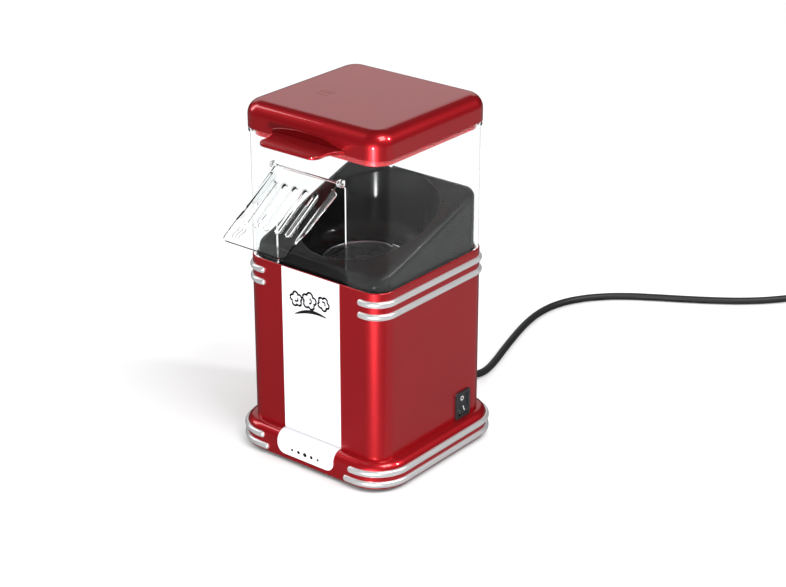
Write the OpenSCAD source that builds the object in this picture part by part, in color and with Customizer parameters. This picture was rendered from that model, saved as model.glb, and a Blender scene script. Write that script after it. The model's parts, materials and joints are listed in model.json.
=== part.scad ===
// Hot-air popcorn maker. A tall plastic housing stands on a wider plinth. A fan in its foot blows
// air past a heating coil into an aluminium pot, and the popped corn rises through the black bowl
// into a clear chamber and slides out under a hinged flap. The chamber and the lid lift off.
// Millimetres, +Z up, front towards -Y. The origin is on the table, under the middle of the object.

/* [Housing] */
// Width of the housing across the front
body_w = 144; // [140:0.5:148]
// Depth of the housing from front to back
body_d = 140.5; // [138:0.5:144]
// Radius of the housing's upright corners
body_r = 17; // [14:0.5:20]
// Height of the plinth's top, where the housing stands
body_foot = 25; // [25:0.5:27]
// Height of the housing's top edge
body_top = 172; // [171:0.5:176]
// Thickness of the plastic shells
wall = 2.4; // [2:0.1:2.6]
// Width of the white stripe down the front
stripe_w = 60.8; // [50:0.4:70]

/* [Plinth] */
// Width of the plinth
plinth_w = 164; // [160:0.5:168]
// Depth of the plinth
plinth_d = 160.5; // [157:0.5:164]
// Radius of the plinth's upright corners
plinth_r = 30.6; // [27:0.2:33]
// Radius of the plinth's rounded shoulder
shoulder_r = 8; // [6:0.5:8]
// Height of the rubber feet
foot_h = 3; // [2.5:0.1:3.5]

/* [Trims] */
// Height of each bright trim
trim_h = 5.6; // [4:0.2:6]
// How far a trim stands proud
trim_out = 2.2; // [1.5:0.1:2.4]
// Middle heights of the two trims round the housing
body_trim_z = [151.8, 162.5];
// Middle heights of the two trims round the plinth
plinth_trim_z = [7, 16.6];

/* [Chamber and lid] */
// Height of the clear chamber's top edge
chamber_top = 281.7; // [279:0.5:285]
// Thickness of the clear walls
clear_wall = 2.2; // [1.8:0.1:2.4]
// Width of the chamber's front opening
mouth_w = 72; // [70:1:74]
// Height of the top of the front opening
mouth_top = 255; // [253:0.5:256]
// Height of the lid above the chamber
lid_h = 22.3; // [20:0.5:25]
// Radius of the lid's rounded top edge
lid_fillet = 12; // [9:0.5:13]
// How far the lid's tab reaches in front of the housing
tab_reach = 27; // [22:0.5:30]

/* [Flap] */
// Width of the flap
flap_w = 64; // [60:0.5:64]
// Length of the flap from its hinge
flap_len = 77; // [70:0.5:77]
// How far the flap stands open
flap_open = 56; // [30:1:70]

/* [Bowl and pot] */
// Tilt of the black deck around the bowl
deck_tilt = 18.3; // [15:0.1:19]
// Height of the deck above the machine's axis
deck_z = 202; // [200:0.5:203]
// Outer radius of the aluminium pot
pot_r = 36.5; // [34:0.5:37]
// Height of the pot's rim
pot_top = 164; // [162:0.5:165]
// Number of air slots round the foot of the pot
pot_slots = 16; // [10:1:18]

/* [Fan and motor] */
// Number of blades on the fan
blades = 9; // [6:1:11]
// Radius of the fan
fan_r = 38; // [34:0.5:39]
// Radius of the motor
motor_r = 17.5; // [16:0.5:18]

/* [Mains lead] */
// Diameter of the mains lead
lead_d = 6.5; // [6:0.1:6.5]

/* [Hidden] */
$fn = 64;

// Distance from the plinth's centre line back to the frame's origin
front_shift = 26.2;

// Inner faces of the housing
body_in_w = body_w - 2 * wall;
body_in_d = body_d - 2 * wall;

// Chamber outline, a little inside the housing's
chamber_w = body_w - 2;
chamber_d = body_d - 2;
chamber_r = body_r - 1;
band_h = 4;

// Black bowl and deck, standing on a ledge inside the housing
deck_w = 134.4;
deck_d = 131;
deck_r = 14;
ledge_z = 167;
ledge_w = 6;
bowl_r = 54;
bowl_floor_r = 16;
throat_r = pot_r + 1.5;
throat_foot = 158;

// Stack on the machine's axis, from the fan up
fan_floor = 50;
fan_top = 82;
pot_floor = 100;
can_r = 42;
mica_z = 84;
shaft_r = 1.15;
motor_foot = 14;

// Hinge of the flap
hinge_y = -72.2;
hinge_z = 258;
hinge_pin_r = 1.5;
ear_t = 4;
// Slots in the flap, measured from its hinge
slot_pitch = 10.7;
slot_r = 1.9;
slot_high = -16.5;
slot_low = -56;

// Switch on the right side
switch_y = 37.7;
switch_z = 37.2;
rocker_pivot_x = body_w / 2 - 2;
rocker_tilt = 12;

// Columns that carry the fan housing, and the other screw places
column_xy = 44;
body_screw_x = 63;
body_screw_y = 61;
base_screw_x = 38;
base_screw_y = 66;
foot_x = 56;
foot_y = 55;

// Mains lead: where it leaves the plinth, its coil, and its route on the table
lead_x = 12;
lead_z = 13;
bushing_end = 108;
lead_r = lead_d / 2;
coil_x = 204;
coil_y = 524;
coil_r = 36;
coil_t = 15.7;
lead_route = [[12, 108, 13], [12, 116, 12.6], [12, 126, 10.6], [12, 138, 7], [11.2, 150, 4.4],
              [9, 163, 3.3], [4.5, 180, 3.25], [-2, 200, 3.25], [-9.5, 224, 3.25],
              [-16.5, 248, 3.25], [-22, 272, 3.25], [-24.5, 296, 3.25], [-22, 320, 3.25],
              [-13, 342, 3.25], [1, 361, 3.25], [20, 378, 3.25], [43, 393, 3.25],
              [68, 408, 3.25], [93, 424, 3.25], [117, 442, 3.25], [137, 462, 3.25],
              [152, 483, 3.3], [161, 503, 3.9], [164.8, 524, 4.6]];
tail_route = [[164.8, 524, 11.1], [164.8, 536, 10.7], [164.8, 550, 9.6], [164.8, 564, 8.8]];
plug_x = tail_route[3][0];
plug_y = tail_route[3][1];
plug_z = tail_route[3][2];
plug_len = 34;
pin_gap = 19;
// Wires inside: terminals to switch, terminals to motor, switch to thermostat, thermostat to fuse
wire_routes = [[[16, 37.6, 12], [22, 35, 12], [28, 33, 13], [32, 33, 19], [34, 33, 27],
                [38, 35, 31], [43, 37, 32.2]],
               [[8, 37.6, 12], [8, 32, 11.6], [8, 26, 11], [8, 18, 10]],
               [[42.6, 38, 42.2], [43.2, 37, 46.5], [48, 36, 51.5], [54, 36, 57], [56, 37, 64],
                [52, 42, 76], [36, 50, 92], [20, 56, 106], [8, 56, 122], [4, 54, 134]],
               [[-4, 54, 134], [-14, 55, 122], [-34, 44, 108], [-44, 24, 104], [-44.8, 2, 107]]];

// Moves a piece from the plinth's centre line to the frame's origin
module placed() {
  translate([0, front_shift, 0]) children();
}

// Rectangle with round corners
module outline(w, d, r) {
  square([w, d - 2 * r], center = true);
  square([w - 2 * r, d], center = true);
  for (sx = [-1, 1], sy = [-1, 1])
    translate([sx * (w / 2 - r), sy * (d / 2 - r)]) circle(r);
}

// Upright prism on a rounded rectangle
module prism(w, d, r, low, high) {
  translate([0, 0, low]) linear_extrude(high - low) outline(w, d, r);
}

// Upright ring between a rounded rectangle and the same one drawn in
module ring(w, d, r, t, low, high) {
  difference() {
    prism(w, d, r, low, high);
    prism(w - 2 * t, d - 2 * t, max(r - t, 1), low - 1, high + 1);
  }
}

// Prism with its top edge rounded
module domed(w, d, r, low, high, fillet) {
  hull()
    for (sx = [-1, 1], sy = [-1, 1])
      translate([sx * (w / 2 - r), sy * (d / 2 - r), 0])
        rotate_extrude($fn = 32)
          polygon(concat([[0, low], [r, low]],
                         [for (a = [0:15:90]) [r - fillet + fillet * cos(a),
                                               high - fillet + fillet * sin(a)]],
                         [[0, high]]));
}

// Round bar along X, Y and Z
module bar_x(r, x0, x1) translate([x0, 0, 0]) rotate([0, 90, 0]) cylinder(r = r, h = x1 - x0);
module bar_y(r, y0, y1) translate([0, y1, 0]) rotate([90, 0, 0]) cylinder(r = r, h = y1 - y0);
module bar_z(r, z0, z1) translate([0, 0, z0]) cylinder(r = r, h = z1 - z0);

// Places its children at the four corners of a rectangle
module at_corners(x, y) {
  for (sx = [-1, 1], sy = [-1, 1]) translate([sx * x, sy * y, 0]) children();
}

// Screw standing head down at z0, with its shank reaching z1
module screw(head_r, head_h, shank_r, z0, z1) {
  bar_z(head_r, z0, z0 + head_h);
  bar_z(shank_r, z0, z1);
}

// One round tube swept along a route
function unit(v) = v / norm(v);
function heading(p, i) = unit(p[min(i + 1, len(p) - 1)] - p[max(i - 1, 0)]);
function rim(p, i, r, n) = let (t = heading(p, i), s = unit(cross(t, [0, 0, 1])), u = cross(s, t))
  [for (k = [0:n - 1]) p[i] + r * (cos(360 * k / n) * s + sin(360 * k / n) * u)];
module tube(p, r, n = 10) {
  last = len(p) - 1;
  polyhedron(
    points = [for (i = [0:last]) each rim(p, i, r, n)],
    faces = concat(
      [[for (k = [0:n - 1]) n - 1 - k]],
      [[for (k = [0:n - 1]) last * n + k]],
      [for (i = [0:last - 1], k = [0:n - 1])
        [i * n + k, i * n + (k + 1) % n, (i + 1) * n + (k + 1) % n, (i + 1) * n + k]]));
}

// ---- Plinth and base ----

module plinth() placed() color("firebrick") difference() {
  union() {
    difference() {
      domed(plinth_w, plinth_d, plinth_r, foot_h, body_foot, shoulder_r);
      prism(plinth_w - 2 * wall, plinth_d - 2 * wall, plinth_r - wall, 0, body_foot - shoulder_r);
      prism(plinth_w - 2 * shoulder_r, plinth_d - 2 * shoulder_r, plinth_r - shoulder_r,
            0, body_foot - wall);
    }
    at_corners(base_screw_x, base_screw_y) bar_z(4, foot_h + wall, body_foot - 1);
    at_corners(column_xy, column_xy) bar_z(4, body_foot - 1, fan_floor);
  }
  // Air way up to the fan
  bar_z(50, 10, 40);
  at_corners(base_screw_x, base_screw_y) bar_z(1.5, 0, 20);
  at_corners(column_xy, column_xy) bar_z(1.4, 34, 60);
  at_corners(body_screw_x, body_screw_y) bar_z(1.8, 15, 30);
  // Hole for the lead's bushing, wider inside the wall
  translate([lead_x, 0, lead_z]) bar_y(5, plinth_d / 2 - 6, plinth_d / 2 + 6);
  translate([lead_x, 0, lead_z]) bar_y(6.5, plinth_d / 2 - 9, plinth_d / 2 - wall);
}

module bottom_plate() placed() color([0.12, 0.12, 0.13]) difference() {
  prism(plinth_w - 2 * wall - 0.4, plinth_d - 2 * wall - 0.4, plinth_r - wall, foot_h,
        foot_h + wall);
  // Air slots under the motor
  for (i = [-4:4])
    translate([i * 8 - 2, -26, 0]) cube([4, 52, 10]);
  at_corners(base_screw_x, base_screw_y) bar_z(1.8, 0, 10);
  at_corners(base_screw_x, base_screw_y) bar_z(3.4, 0, foot_h + 1.2);
  at_corners(foot_x, foot_y) bar_z(2.1, 0, 10);
}

module rubber_feet() placed() color([0.1, 0.1, 0.1]) at_corners(foot_x, foot_y) {
  cylinder(r1 = 6.5, r2 = 7, h = foot_h);
  bar_z(2, foot_h - 1, foot_h + wall);
  bar_z(2.6, foot_h + wall, foot_h + wall + 1.2);
}

module base_screws() placed() color("silver")
  at_corners(base_screw_x, base_screw_y) screw(3.2, 1.2, 1.4, foot_h, 18);

// ---- Housing ----

module body_shell() placed() color("firebrick") difference() {
  union() {
    ring(body_w, body_d, body_r, wall, body_foot, body_top);
    // Ledge under the black deck
    ring(body_in_w + 1, body_in_d + 1, body_r - wall, ledge_w, ledge_z - 3, ledge_z);
    // Screw bosses in the corners
    at_corners(body_screw_x, body_screw_y) bar_z(4, body_foot, body_foot + 20);
  }
  at_corners(body_screw_x, body_screw_y) bar_z(1.5, body_foot - 5, body_foot + 16);
  // Cut-out for the switch
  translate([body_w / 2 - 6, switch_y - 7.8, switch_z - 10.8]) cube([12, 15.6, 21.6]);
}

module body_screws() placed() color("silver")
  at_corners(body_screw_x, body_screw_y) screw(3, 1.6, 1.4, body_foot - wall - 1.6, 39);

module front_stripe() placed() color("white")
  translate([-stripe_w / 2, -body_d / 2 - 0.7, body_foot + 1.2])
    cube([stripe_w, 0.7, body_top - body_foot - 1.2]);

// Badge over the plinth's front, from above its foot up over the shoulder
module badge_plate() placed() color("white") intersection() {
  translate([-stripe_w / 2, 0, 0]) rotate([90, 0, 90]) linear_extrude(stripe_w) difference() {
    badge_side(shoulder_r + 1);
    badge_side(shoulder_r + 0.05);
  }
  translate([0, 0, 22]) rotate([90, 0, 0])
    linear_extrude(100) outline(stripe_w, 29.6, 8);
}

// Side view of the plinth's front, drawn out to a radius round the shoulder's centre
module badge_side(r) {
  y = -plinth_d / 2 + shoulder_r;
  z = body_foot - shoulder_r;
  translate([y, z]) intersection() {
    circle(r);
    translate([-r, 0]) square(r);
  }
  translate([y - r, foot_h]) square([r + 4, z - foot_h]);
  translate([y, foot_h]) square([-body_d / 2 - 0.01 - y, z - foot_h + r]);
}

// Bright strip round a rounded rectangle, proud of it, open at the front
module strip(w, d, r, z, gap) difference() {
  prism(w + 2 * trim_out, d + 2 * trim_out, r + trim_out, z - trim_h / 2, z + trim_h / 2);
  prism(w, d, r, z - trim_h, z + trim_h);
  translate([-gap, -d, z - trim_h]) cube([2 * gap, d, 2 * trim_h]);
}

module body_trim(i) placed() color("gainsboro")
  strip(body_w, body_d, body_r, body_trim_z[i], 49);
module body_trim_upper() body_trim(1);
module body_trim_lower() body_trim(0);

// The plinth's trims also stop short of the lead at the back
module plinth_trim(i, gap) placed() color("gainsboro") difference() {
  strip(plinth_w, plinth_d, plinth_r, plinth_trim_z[i], gap);
  translate([-gap, 0, 0]) cube([2 * gap, plinth_d, body_foot]);
}
module plinth_trim_upper() plinth_trim(1, 45.6);
module plinth_trim_lower() plinth_trim(0, 40.8);

// ---- Bowl, pot and heater ----

// Everything under the tilted deck, drawn in by a wall's thickness
module under_deck(inset, low) intersection() {
  prism(deck_w - 2 * inset, deck_d - 2 * inset, deck_r - inset, low, deck_z + 30);
  translate([0, 0, deck_z]) rotate([deck_tilt, 0, 0])
    translate([-100, -120, -150 - inset]) cube([200, 240, 150]);
}

// Bowl of revolution from a foot's height out to a steep side wall, its floor an arc from an angle
module bowl(grow, foot, first) rotate_extrude() polygon(concat(
  [[0, foot], [throat_r + grow, foot]],
  [for (a = [first:15:0]) [throat_r + (bowl_floor_r + grow) * cos(a),
                           pot_top + bowl_floor_r + (bowl_floor_r + grow) * sin(a)]],
  [[bowl_r + grow + 7, deck_z + 30], [0, deck_z + 30]]));

module bowl_deck() placed() color([0.09, 0.09, 0.09]) difference() {
  union() {
    difference() {
      under_deck(0, ledge_z);
      under_deck(wall, ledge_z - 1);
    }
    intersection() {
      bowl(wall, throat_foot, -75);
      under_deck(0, throat_foot);
    }
  }
  bowl(0, throat_foot - 1, -90);
}

module popping_pot() placed() color("lightgray") difference() {
  union() {
    bar_z(pot_r, pot_floor, pot_top);
    bar_z(pot_r + 0.9, pot_top - 2, pot_top);
  }
  bar_z(pot_r - 0.8, pot_floor + 0.8, pot_top + 1);
  // Slanted air slots round the foot
  for (i = [0:pot_slots - 1])
    rotate(i * 360 / pot_slots) translate([pot_r - 4, 0, pot_floor + 11])
      rotate([25, 0, 0]) cube([10, 1.8, 15], center = true);
}

module heater_can() placed() color("silver") difference() {
  union() {
    bar_z(can_r, fan_top, 156);
    bar_z(can_r + 4, 154.8, 156);
  }
  bar_z(can_r - 0.8, fan_top - 1, 157);
}

module mica_frame() placed() color("tan") {
  translate([-can_r + 1, -0.5, mica_z]) cube([2 * can_r - 2, 1, 12]);
  translate([-0.5, -can_r + 1, mica_z]) cube([1, 2 * can_r - 2, 12]);
}

module heating_coil() placed() color("dimgray")
  for (r = [16, 28])
    translate([0, 0, mica_z + 14.2]) rotate_extrude() translate([r, 0]) circle(1.6, $fn = 20);

module thermostat() placed() color("gray") translate([0, 0, 138]) {
  bar_y(8, can_r + 0.4, can_r + 6);
  for (s = [-1, 1]) translate([s * 4 - 2.2, can_r + 6, -0.4]) cube([4.4, 7, 0.8]);
}

module thermal_fuse() placed() color("white") translate([-can_r - 2.8, 0, 0]) {
  bar_z(2.2, 118, 130);
  bar_z(0.5, 108, 140);
}

// ---- Fan and motor ----

module fan_housing() placed() color([0.2, 0.2, 0.2]) difference() {
  union() {
    bar_z(can_r + 2, fan_floor, fan_top);
    at_corners(column_xy, column_xy) bar_z(5, fan_floor, fan_floor + 3);
    for (a = [45, 135])
      rotate(a) translate([-62, -4, fan_floor]) cube([124, 8, 3]);
  }
  bar_z(can_r - 0.4, fan_floor + 2, fan_top + 1);
  bar_z(5, 0, 60);
  // Air intake round the motor
  for (i = [0:7])
    rotate(i * 45 + 22.5) translate([28, 0, 0]) bar_z(6, 40, 54);
  for (s = [-1, 1]) translate([s * 12, 0, 0]) bar_z(1.3, 40, 54);
  at_corners(column_xy, column_xy) bar_z(1.8, 40, 60);
}

module fan_screws() placed() color("silver")
  at_corners(column_xy, column_xy) {
    bar_z(3, fan_floor + 3, fan_floor + 5);
    bar_z(1.3, 38, fan_floor + 4);
  }

module fan_wheel() placed() color([0.75, 0.72, 0.62]) difference() {
  union() {
    bar_z(7, 57, 72);
    bar_z(fan_r, 57, 58.6);
    for (i = [0:blades - 1])
      rotate(i * 360 / blades) translate([6, -0.7, 58]) cube([fan_r - 7, 1.4, 16]);
  }
  bar_z(shaft_r + 0.02, 50, 80);
}

module motor_shaft() placed() color("silver") bar_z(shaft_r, 12.6, 74);

module armature() placed() color("peru") difference() {
  union() {
    bar_z(12.6, 24, 42);
    bar_z(4, 18.2, 44);
  }
  for (i = [0:4])
    rotate(i * 72) translate([5, -1, 20]) cube([10, 2, 26]);
  bar_z(shaft_r + 0.02, 10, 50);
}

module motor_can() placed() color("silver") difference() {
  bar_z(motor_r, motor_foot, fan_floor);
  bar_z(motor_r - 1, motor_foot - 1, fan_floor - 1);
  bar_z(3.25, 40, 60);
  for (s = [-1, 1]) translate([s * 12, 0, 0]) bar_z(1.3, 45, 54);
}

module motor_magnets() placed() color([0.25, 0.25, 0.27]) difference() {
  bar_z(motor_r - 1.1, 22, 44);
  bar_z(13.2, 20, 46);
  translate([-3, -20, 20]) cube([6, 40, 30]);
}

module motor_end_cap() placed() color([0.15, 0.15, 0.15]) difference() {
  bar_z(motor_r - 1.1, motor_foot, motor_foot + 3);
  bar_z(3.25, 10, 20);
}

module motor_bushes() placed() color("goldenrod") difference() {
  union() {
    bar_z(3.2, motor_foot, motor_foot + 3.6);
    bar_z(3.2, 46, fan_floor + 0.5);
  }
  bar_z(shaft_r + 0.05, 10, 60);
}

module motor_screws() placed() color("silver")
  for (s = [-1, 1]) translate([s * 12, 0, 0]) {
    bar_z(2.4, fan_floor + 2, fan_floor + 3.6);
    bar_z(1.2, 46, fan_floor + 3);
  }

module rectifier_board() placed() color("darkgreen") difference() {
  bar_z(14, 11.6, 13.2);
  bar_z(4, 10, 15);
}

module rectifier_diodes() placed() color([0.1, 0.1, 0.1])
  for (a = [0:90:270])
    rotate(a) translate([9, 0, 10.1]) bar_y(1.4, -2.6, 2.6);

// ---- Switch ----

module switch_case() placed() color([0.08, 0.08, 0.08]) translate([0, switch_y, switch_z])
  difference() {
    union() {
      translate([body_w / 2 - 20, -7.6, -10.6]) cube([21, 15.2, 21.2]);
      translate([body_w / 2, 0, 0]) rotate([90, 0, 90]) linear_extrude(1.8)
        outline(18.4, 24, 1.6);
    }
    translate([body_w / 2 - 17, -6.6, -9.8]) cube([30, 13.2, 19.6]);
    translate([rocker_pivot_x, 0, 0]) bar_y(1.25, -7.4, 7.4);
  }

module switch_terminals() placed() color("gold")
  for (z = [-5, 5])
    translate([body_w / 2 - 27, switch_y - 2.4, switch_z + z - 0.4]) cube([7, 4.8, 0.8]);

// Rocker, at rest with its lower half standing out
module switch_rocker() placed() color([0.1, 0.1, 0.1])
  translate([rocker_pivot_x, switch_y, switch_z]) rotate([0, -rocker_tilt, 0]) {
    rotate([90, 0, 0]) linear_extrude(12.6, center = true)
      polygon([[-4, -4], [-4, 4], [-1, 8.2], [4, 8.6], [2.4, 0], [4, -8.6], [-1, -8.2]]);
    bar_y(1.2, -7.2, 7.2);
  }

// ---- Chamber, flap and lid ----

module clear_chamber() placed() color([0.85, 0.9, 0.95, 0.4]) {
  difference() {
    union() {
      prism(chamber_w, chamber_d, chamber_r, body_top, chamber_top);
      prism(body_w, body_d, body_r, chamber_top - band_h, chamber_top);
    }
    prism(chamber_w - 2 * clear_wall, chamber_d - 2 * clear_wall, chamber_r - clear_wall,
          body_top - 1, chamber_top + 1);
    translate([-mouth_w / 2, -chamber_d / 2 - 5, body_top - 1])
      cube([mouth_w, 12, mouth_top - body_top + 1]);
  }
  // Ears that carry the flap's pins
  for (s = [-1, 1])
    translate([s * (flap_w / 2 + 0.4 + ear_t / 2), 0, 0]) difference() {
      union() {
        translate([0, hinge_y, hinge_z]) bar_x(3.4, -ear_t / 2, ear_t / 2);
        translate([-ear_t / 2, hinge_y, hinge_z - 2.6])
          cube([ear_t, -hinge_y - chamber_d / 2 + 1, 6]);
      }
      translate([0, hinge_y, hinge_z]) bar_x(hinge_pin_r + 0.05, -ear_t, ear_t);
    }
}

module flap() placed() color([0.85, 0.9, 0.95, 0.4])
  translate([0, hinge_y, hinge_z]) rotate([-flap_open, 0, 0]) {
    bar_x(2.2, -flap_w / 2, flap_w / 2);
    bar_x(hinge_pin_r, -flap_w / 2 - ear_t, flap_w / 2 + ear_t);
    difference() {
      translate([0, 1, -flap_len / 2 - 0.5]) rotate([90, 0, 0])
        linear_extrude(2) outline(flap_w, flap_len - 1, 4);
      for (i = [-2:2])
        translate([i * slot_pitch, 0, 0]) flap_slot();
    }
    // Side flanges that guide the corn
    for (s = [-1, 1])
      translate([s * (flap_w / 2 - 1) - 1, 0.9, -68]) cube([2, 6.6, 62]);
  }

module flap_slot() {
  translate([-slot_r, -5, slot_low]) cube([2 * slot_r, 10, slot_high - slot_low]);
  for (z = [slot_low, slot_high]) translate([0, 0, z]) bar_y(slot_r, -5, 5);
}

module lid() placed() color("firebrick") {
  difference() {
    domed(body_w + 1.2, body_d + 1.2, body_r + 0.6, chamber_top, chamber_top + lid_h, lid_fillet);
    domed(body_w + 1.2 - 2 * wall, body_d + 1.2 - 2 * wall, body_r + 0.6 - wall, chamber_top - 1,
          chamber_top + lid_h - wall, lid_fillet - wall);
  }
  // Collar that drops into the chamber
  ring(body_w - 2, body_d - 2, body_r - 1, 5, chamber_top + 0.3, chamber_top + 2);
  ring(136.4, 132.9, 13, 2, chamber_top - 5.7, chamber_top + 1);
  lid_tab();
}

// Tab over the flap, flared where it leaves the lid
module lid_tab() translate([0, -body_d / 2, chamber_top + 0.2]) linear_extrude(3) {
  polygon([[-38, 1], [38, 1], [30, -8], [-30, -8]]);
  translate([-30, -tab_reach + 8]) square([60, tab_reach - 8]);
  translate([-22, -tab_reach]) square([44, 9]);
  for (s = [-1, 1]) translate([s * 22, -tab_reach + 8]) circle(8);
}

// ---- Mains lead and wiring ----

module lead_bushing() placed() color([0.08, 0.08, 0.08]) translate([lead_x, 0, lead_z]) {
  bar_y(6.2, plinth_d / 2 - wall - 2.6, plinth_d / 2 - wall - 0.1);
  bar_y(4.9, plinth_d / 2 - wall - 1, plinth_d / 2 + 0.5);
  bar_y(6.4, plinth_d / 2 + 0.1, plinth_d / 2 + 2);
  translate([0, plinth_d / 2 + 1, 0]) rotate([-90, 0, 0])
    cylinder(r1 = 5.6, r2 = 4.1, h = bushing_end - plinth_d / 2 - 1);
}

module lead_clamp() placed() color([0.15, 0.15, 0.15]) translate([lead_x, 62, 0]) difference() {
  translate([-11, -4, foot_h + wall]) cube([22, 8, lead_z + lead_r + 2 - foot_h - wall]);
  translate([0, 0, lead_z]) bar_y(lead_r + 0.1, -6, 6);
  for (s = [-1, 1]) translate([s * 8, 0, 0]) bar_z(1.3, 0, 30);
}

module clamp_screws() placed() color("silver") translate([lead_x, 62, 0])
  for (s = [-1, 1]) translate([s * 8, 0, 0]) {
    bar_z(2.4, lead_z + lead_r + 2, lead_z + lead_r + 3.4);
    bar_z(1.2, 9, lead_z + lead_r + 3);
  }

module terminal_block() placed() color("ivory") translate([lead_x, 44, foot_h + wall])
  difference() {
    translate([-9, -6, 0]) cube([18, 12, 12]);
    for (s = [-1, 1]) translate([s * 4.4, 0, 0]) bar_z(1.6, 6, 20);
  }

module wiring() placed() color([0.1, 0.1, 0.12]) {
  // Lead inside the plinth, from the bushing through the clamp
  translate([lead_x, 0, lead_z]) bar_y(lead_r, 54, plinth_d / 2 - wall - 2.7);
  for (route = wire_routes) tube(route, 1.2, 8);
}

module lead_run() placed() color([0.06, 0.06, 0.06]) tube(lead_route, lead_r);

module lead_tail() placed() color([0.06, 0.06, 0.06]) tube(tail_route, lead_r);

module lead_coil() placed() color([0.06, 0.06, 0.06]) translate([coil_x, coil_y, 0])
  rotate_extrude() translate([coil_r, coil_t / 2]) outline(coil_t, coil_t, 5);

module lead_tie() placed() color("black")
  translate([coil_x + coil_r - coil_t / 2 - 1, coil_y - 4, 0]) difference() {
    cube([coil_t + 2, 8, coil_t + 1]);
    translate([1, -1, 0.6]) cube([coil_t, 10, coil_t - 0.6]);
  }

module plug_body() placed() color([0.07, 0.07, 0.07]) translate([plug_x, plug_y, plug_z]) {
  bar_y(5.4, 0, 8);
  translate([0, 6, 0]) rotate([-90, 0, 0])
    linear_extrude(plug_len - 6) outline(30, 2 * plug_z, 7);
}

module plug_pins() placed() color("silver")
  for (s = [-1, 1])
    translate([plug_x + s * pin_gap / 2, plug_y + plug_len, plug_z]) bar_y(2.4, 0, 19);

plinth();
bottom_plate();
rubber_feet();
base_screws();
body_shell();
body_screws();
front_stripe();
badge_plate();
body_trim_upper();
body_trim_lower();
plinth_trim_upper();
plinth_trim_lower();
bowl_deck();
popping_pot();
heater_can();
mica_frame();
heating_coil();
thermostat();
thermal_fuse();
fan_housing();
fan_screws();
fan_wheel();
motor_shaft();
armature();
motor_can();
motor_magnets();
motor_end_cap();
motor_bushes();
motor_screws();
rectifier_board();
rectifier_diodes();
switch_case();
switch_terminals();
switch_rocker();
clear_chamber();
flap();
lid();
lead_bushing();
lead_clamp();
clamp_screws();
terminal_block();
wiring();
lead_run();
lead_coil();
lead_tail();
lead_tie();
plug_body();
plug_pins();
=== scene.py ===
import json
import math

import bmesh
import bpy
from bpy.props import FloatProperty, FloatVectorProperty, IntProperty, PointerProperty
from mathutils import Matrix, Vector


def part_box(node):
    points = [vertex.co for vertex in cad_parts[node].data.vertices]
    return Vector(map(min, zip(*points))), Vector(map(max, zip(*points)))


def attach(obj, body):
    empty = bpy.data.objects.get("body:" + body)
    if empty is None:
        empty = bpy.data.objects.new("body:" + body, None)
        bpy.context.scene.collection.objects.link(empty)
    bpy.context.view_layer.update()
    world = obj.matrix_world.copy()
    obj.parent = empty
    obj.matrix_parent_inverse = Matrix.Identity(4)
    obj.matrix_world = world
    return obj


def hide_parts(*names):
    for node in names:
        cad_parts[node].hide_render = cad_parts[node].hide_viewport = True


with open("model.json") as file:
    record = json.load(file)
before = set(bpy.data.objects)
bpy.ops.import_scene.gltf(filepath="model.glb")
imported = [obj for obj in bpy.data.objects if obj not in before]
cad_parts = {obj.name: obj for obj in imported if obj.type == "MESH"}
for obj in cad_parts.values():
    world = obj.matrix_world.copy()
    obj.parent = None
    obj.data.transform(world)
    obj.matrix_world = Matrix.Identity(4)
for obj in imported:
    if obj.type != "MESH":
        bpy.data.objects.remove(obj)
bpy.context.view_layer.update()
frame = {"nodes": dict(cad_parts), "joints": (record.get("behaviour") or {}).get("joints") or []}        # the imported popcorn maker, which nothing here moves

bl_info = {
    "name": "Popcorn maker",
    "version": (1, 0, 0),
    "blender": (4, 5, 0),
    "location": "3D View > Sidebar > Popcorn",
    "description": "Models the pieces and finishes of a hot-air popcorn maker on its frame",
    "category": "Object",
}

MM = 0.001

# The housing stands on the machine's upright axis. Places below are millimetres from that axis.
housing_low, housing_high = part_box("body_shell")
AXIS_Y = (housing_low.y + housing_high.y) / 2
TOUCH = 2e-5        # places closer than this, in metres, count as one
SQUARE = 0.9        # a normal whose part along an axis is larger faces along it


def mm(x, y, z):
    """A point in millimetres from the machine's axis, as a point in the frame."""
    return Vector((x * MM, y * MM + AXIS_Y, z * MM))


def box_mm(node):
    """Lowest and highest corner of a node in millimetres from the machine's axis."""
    low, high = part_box(node)
    shift = Vector((0, AXIS_Y, 0))
    return (low - shift) / MM, (high - shift) / MM


def middle_mm(node):
    """Middle of a node's box."""
    low, high = box_mm(node)
    return (low + high) / 2


def joint_mm(name):
    """A joint of the frame, and its place in millimetres from the machine's axis."""
    joint = next(j for j in frame["joints"] if j["name"] == name)
    return joint, (Vector(joint["pos_m"]) - Vector((0, AXIS_Y, 0))) / MM


# ---- Sizes and colours a user would change ----

def length(name, description, default):
    """A length property, in metres, with its default in millimetres."""
    return FloatProperty(name=name, description=description, default=default * MM,
                         min=0, unit="LENGTH", precision=4)


def colour(name, description, default):
    """A colour property."""
    return FloatVectorProperty(name=name, description=description, default=default,
                               min=0, max=1, size=3, subtype="COLOR")


class PopperColours(bpy.types.PropertyGroup):
    """Colours of the outer pieces."""
    lacquer: colour("Lacquer", "Metallic red of the housing, plinth and lid", (0.45, 0.008, 0.014))
    panel: colour("Panel", "Gloss white of the front panel and badge", (0.66, 0.652, 0.675))
    strip: colour("Strips", "Satin silver of the bright strips", (0.8, 0.8, 0.81))
    deck: colour("Deck", "Gloss black of the bowl and its deck", (0.009, 0.009, 0.009))
    clear: colour("Clear", "Tint of the chamber and the flap", (0.96, 0.975, 0.975))


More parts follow.
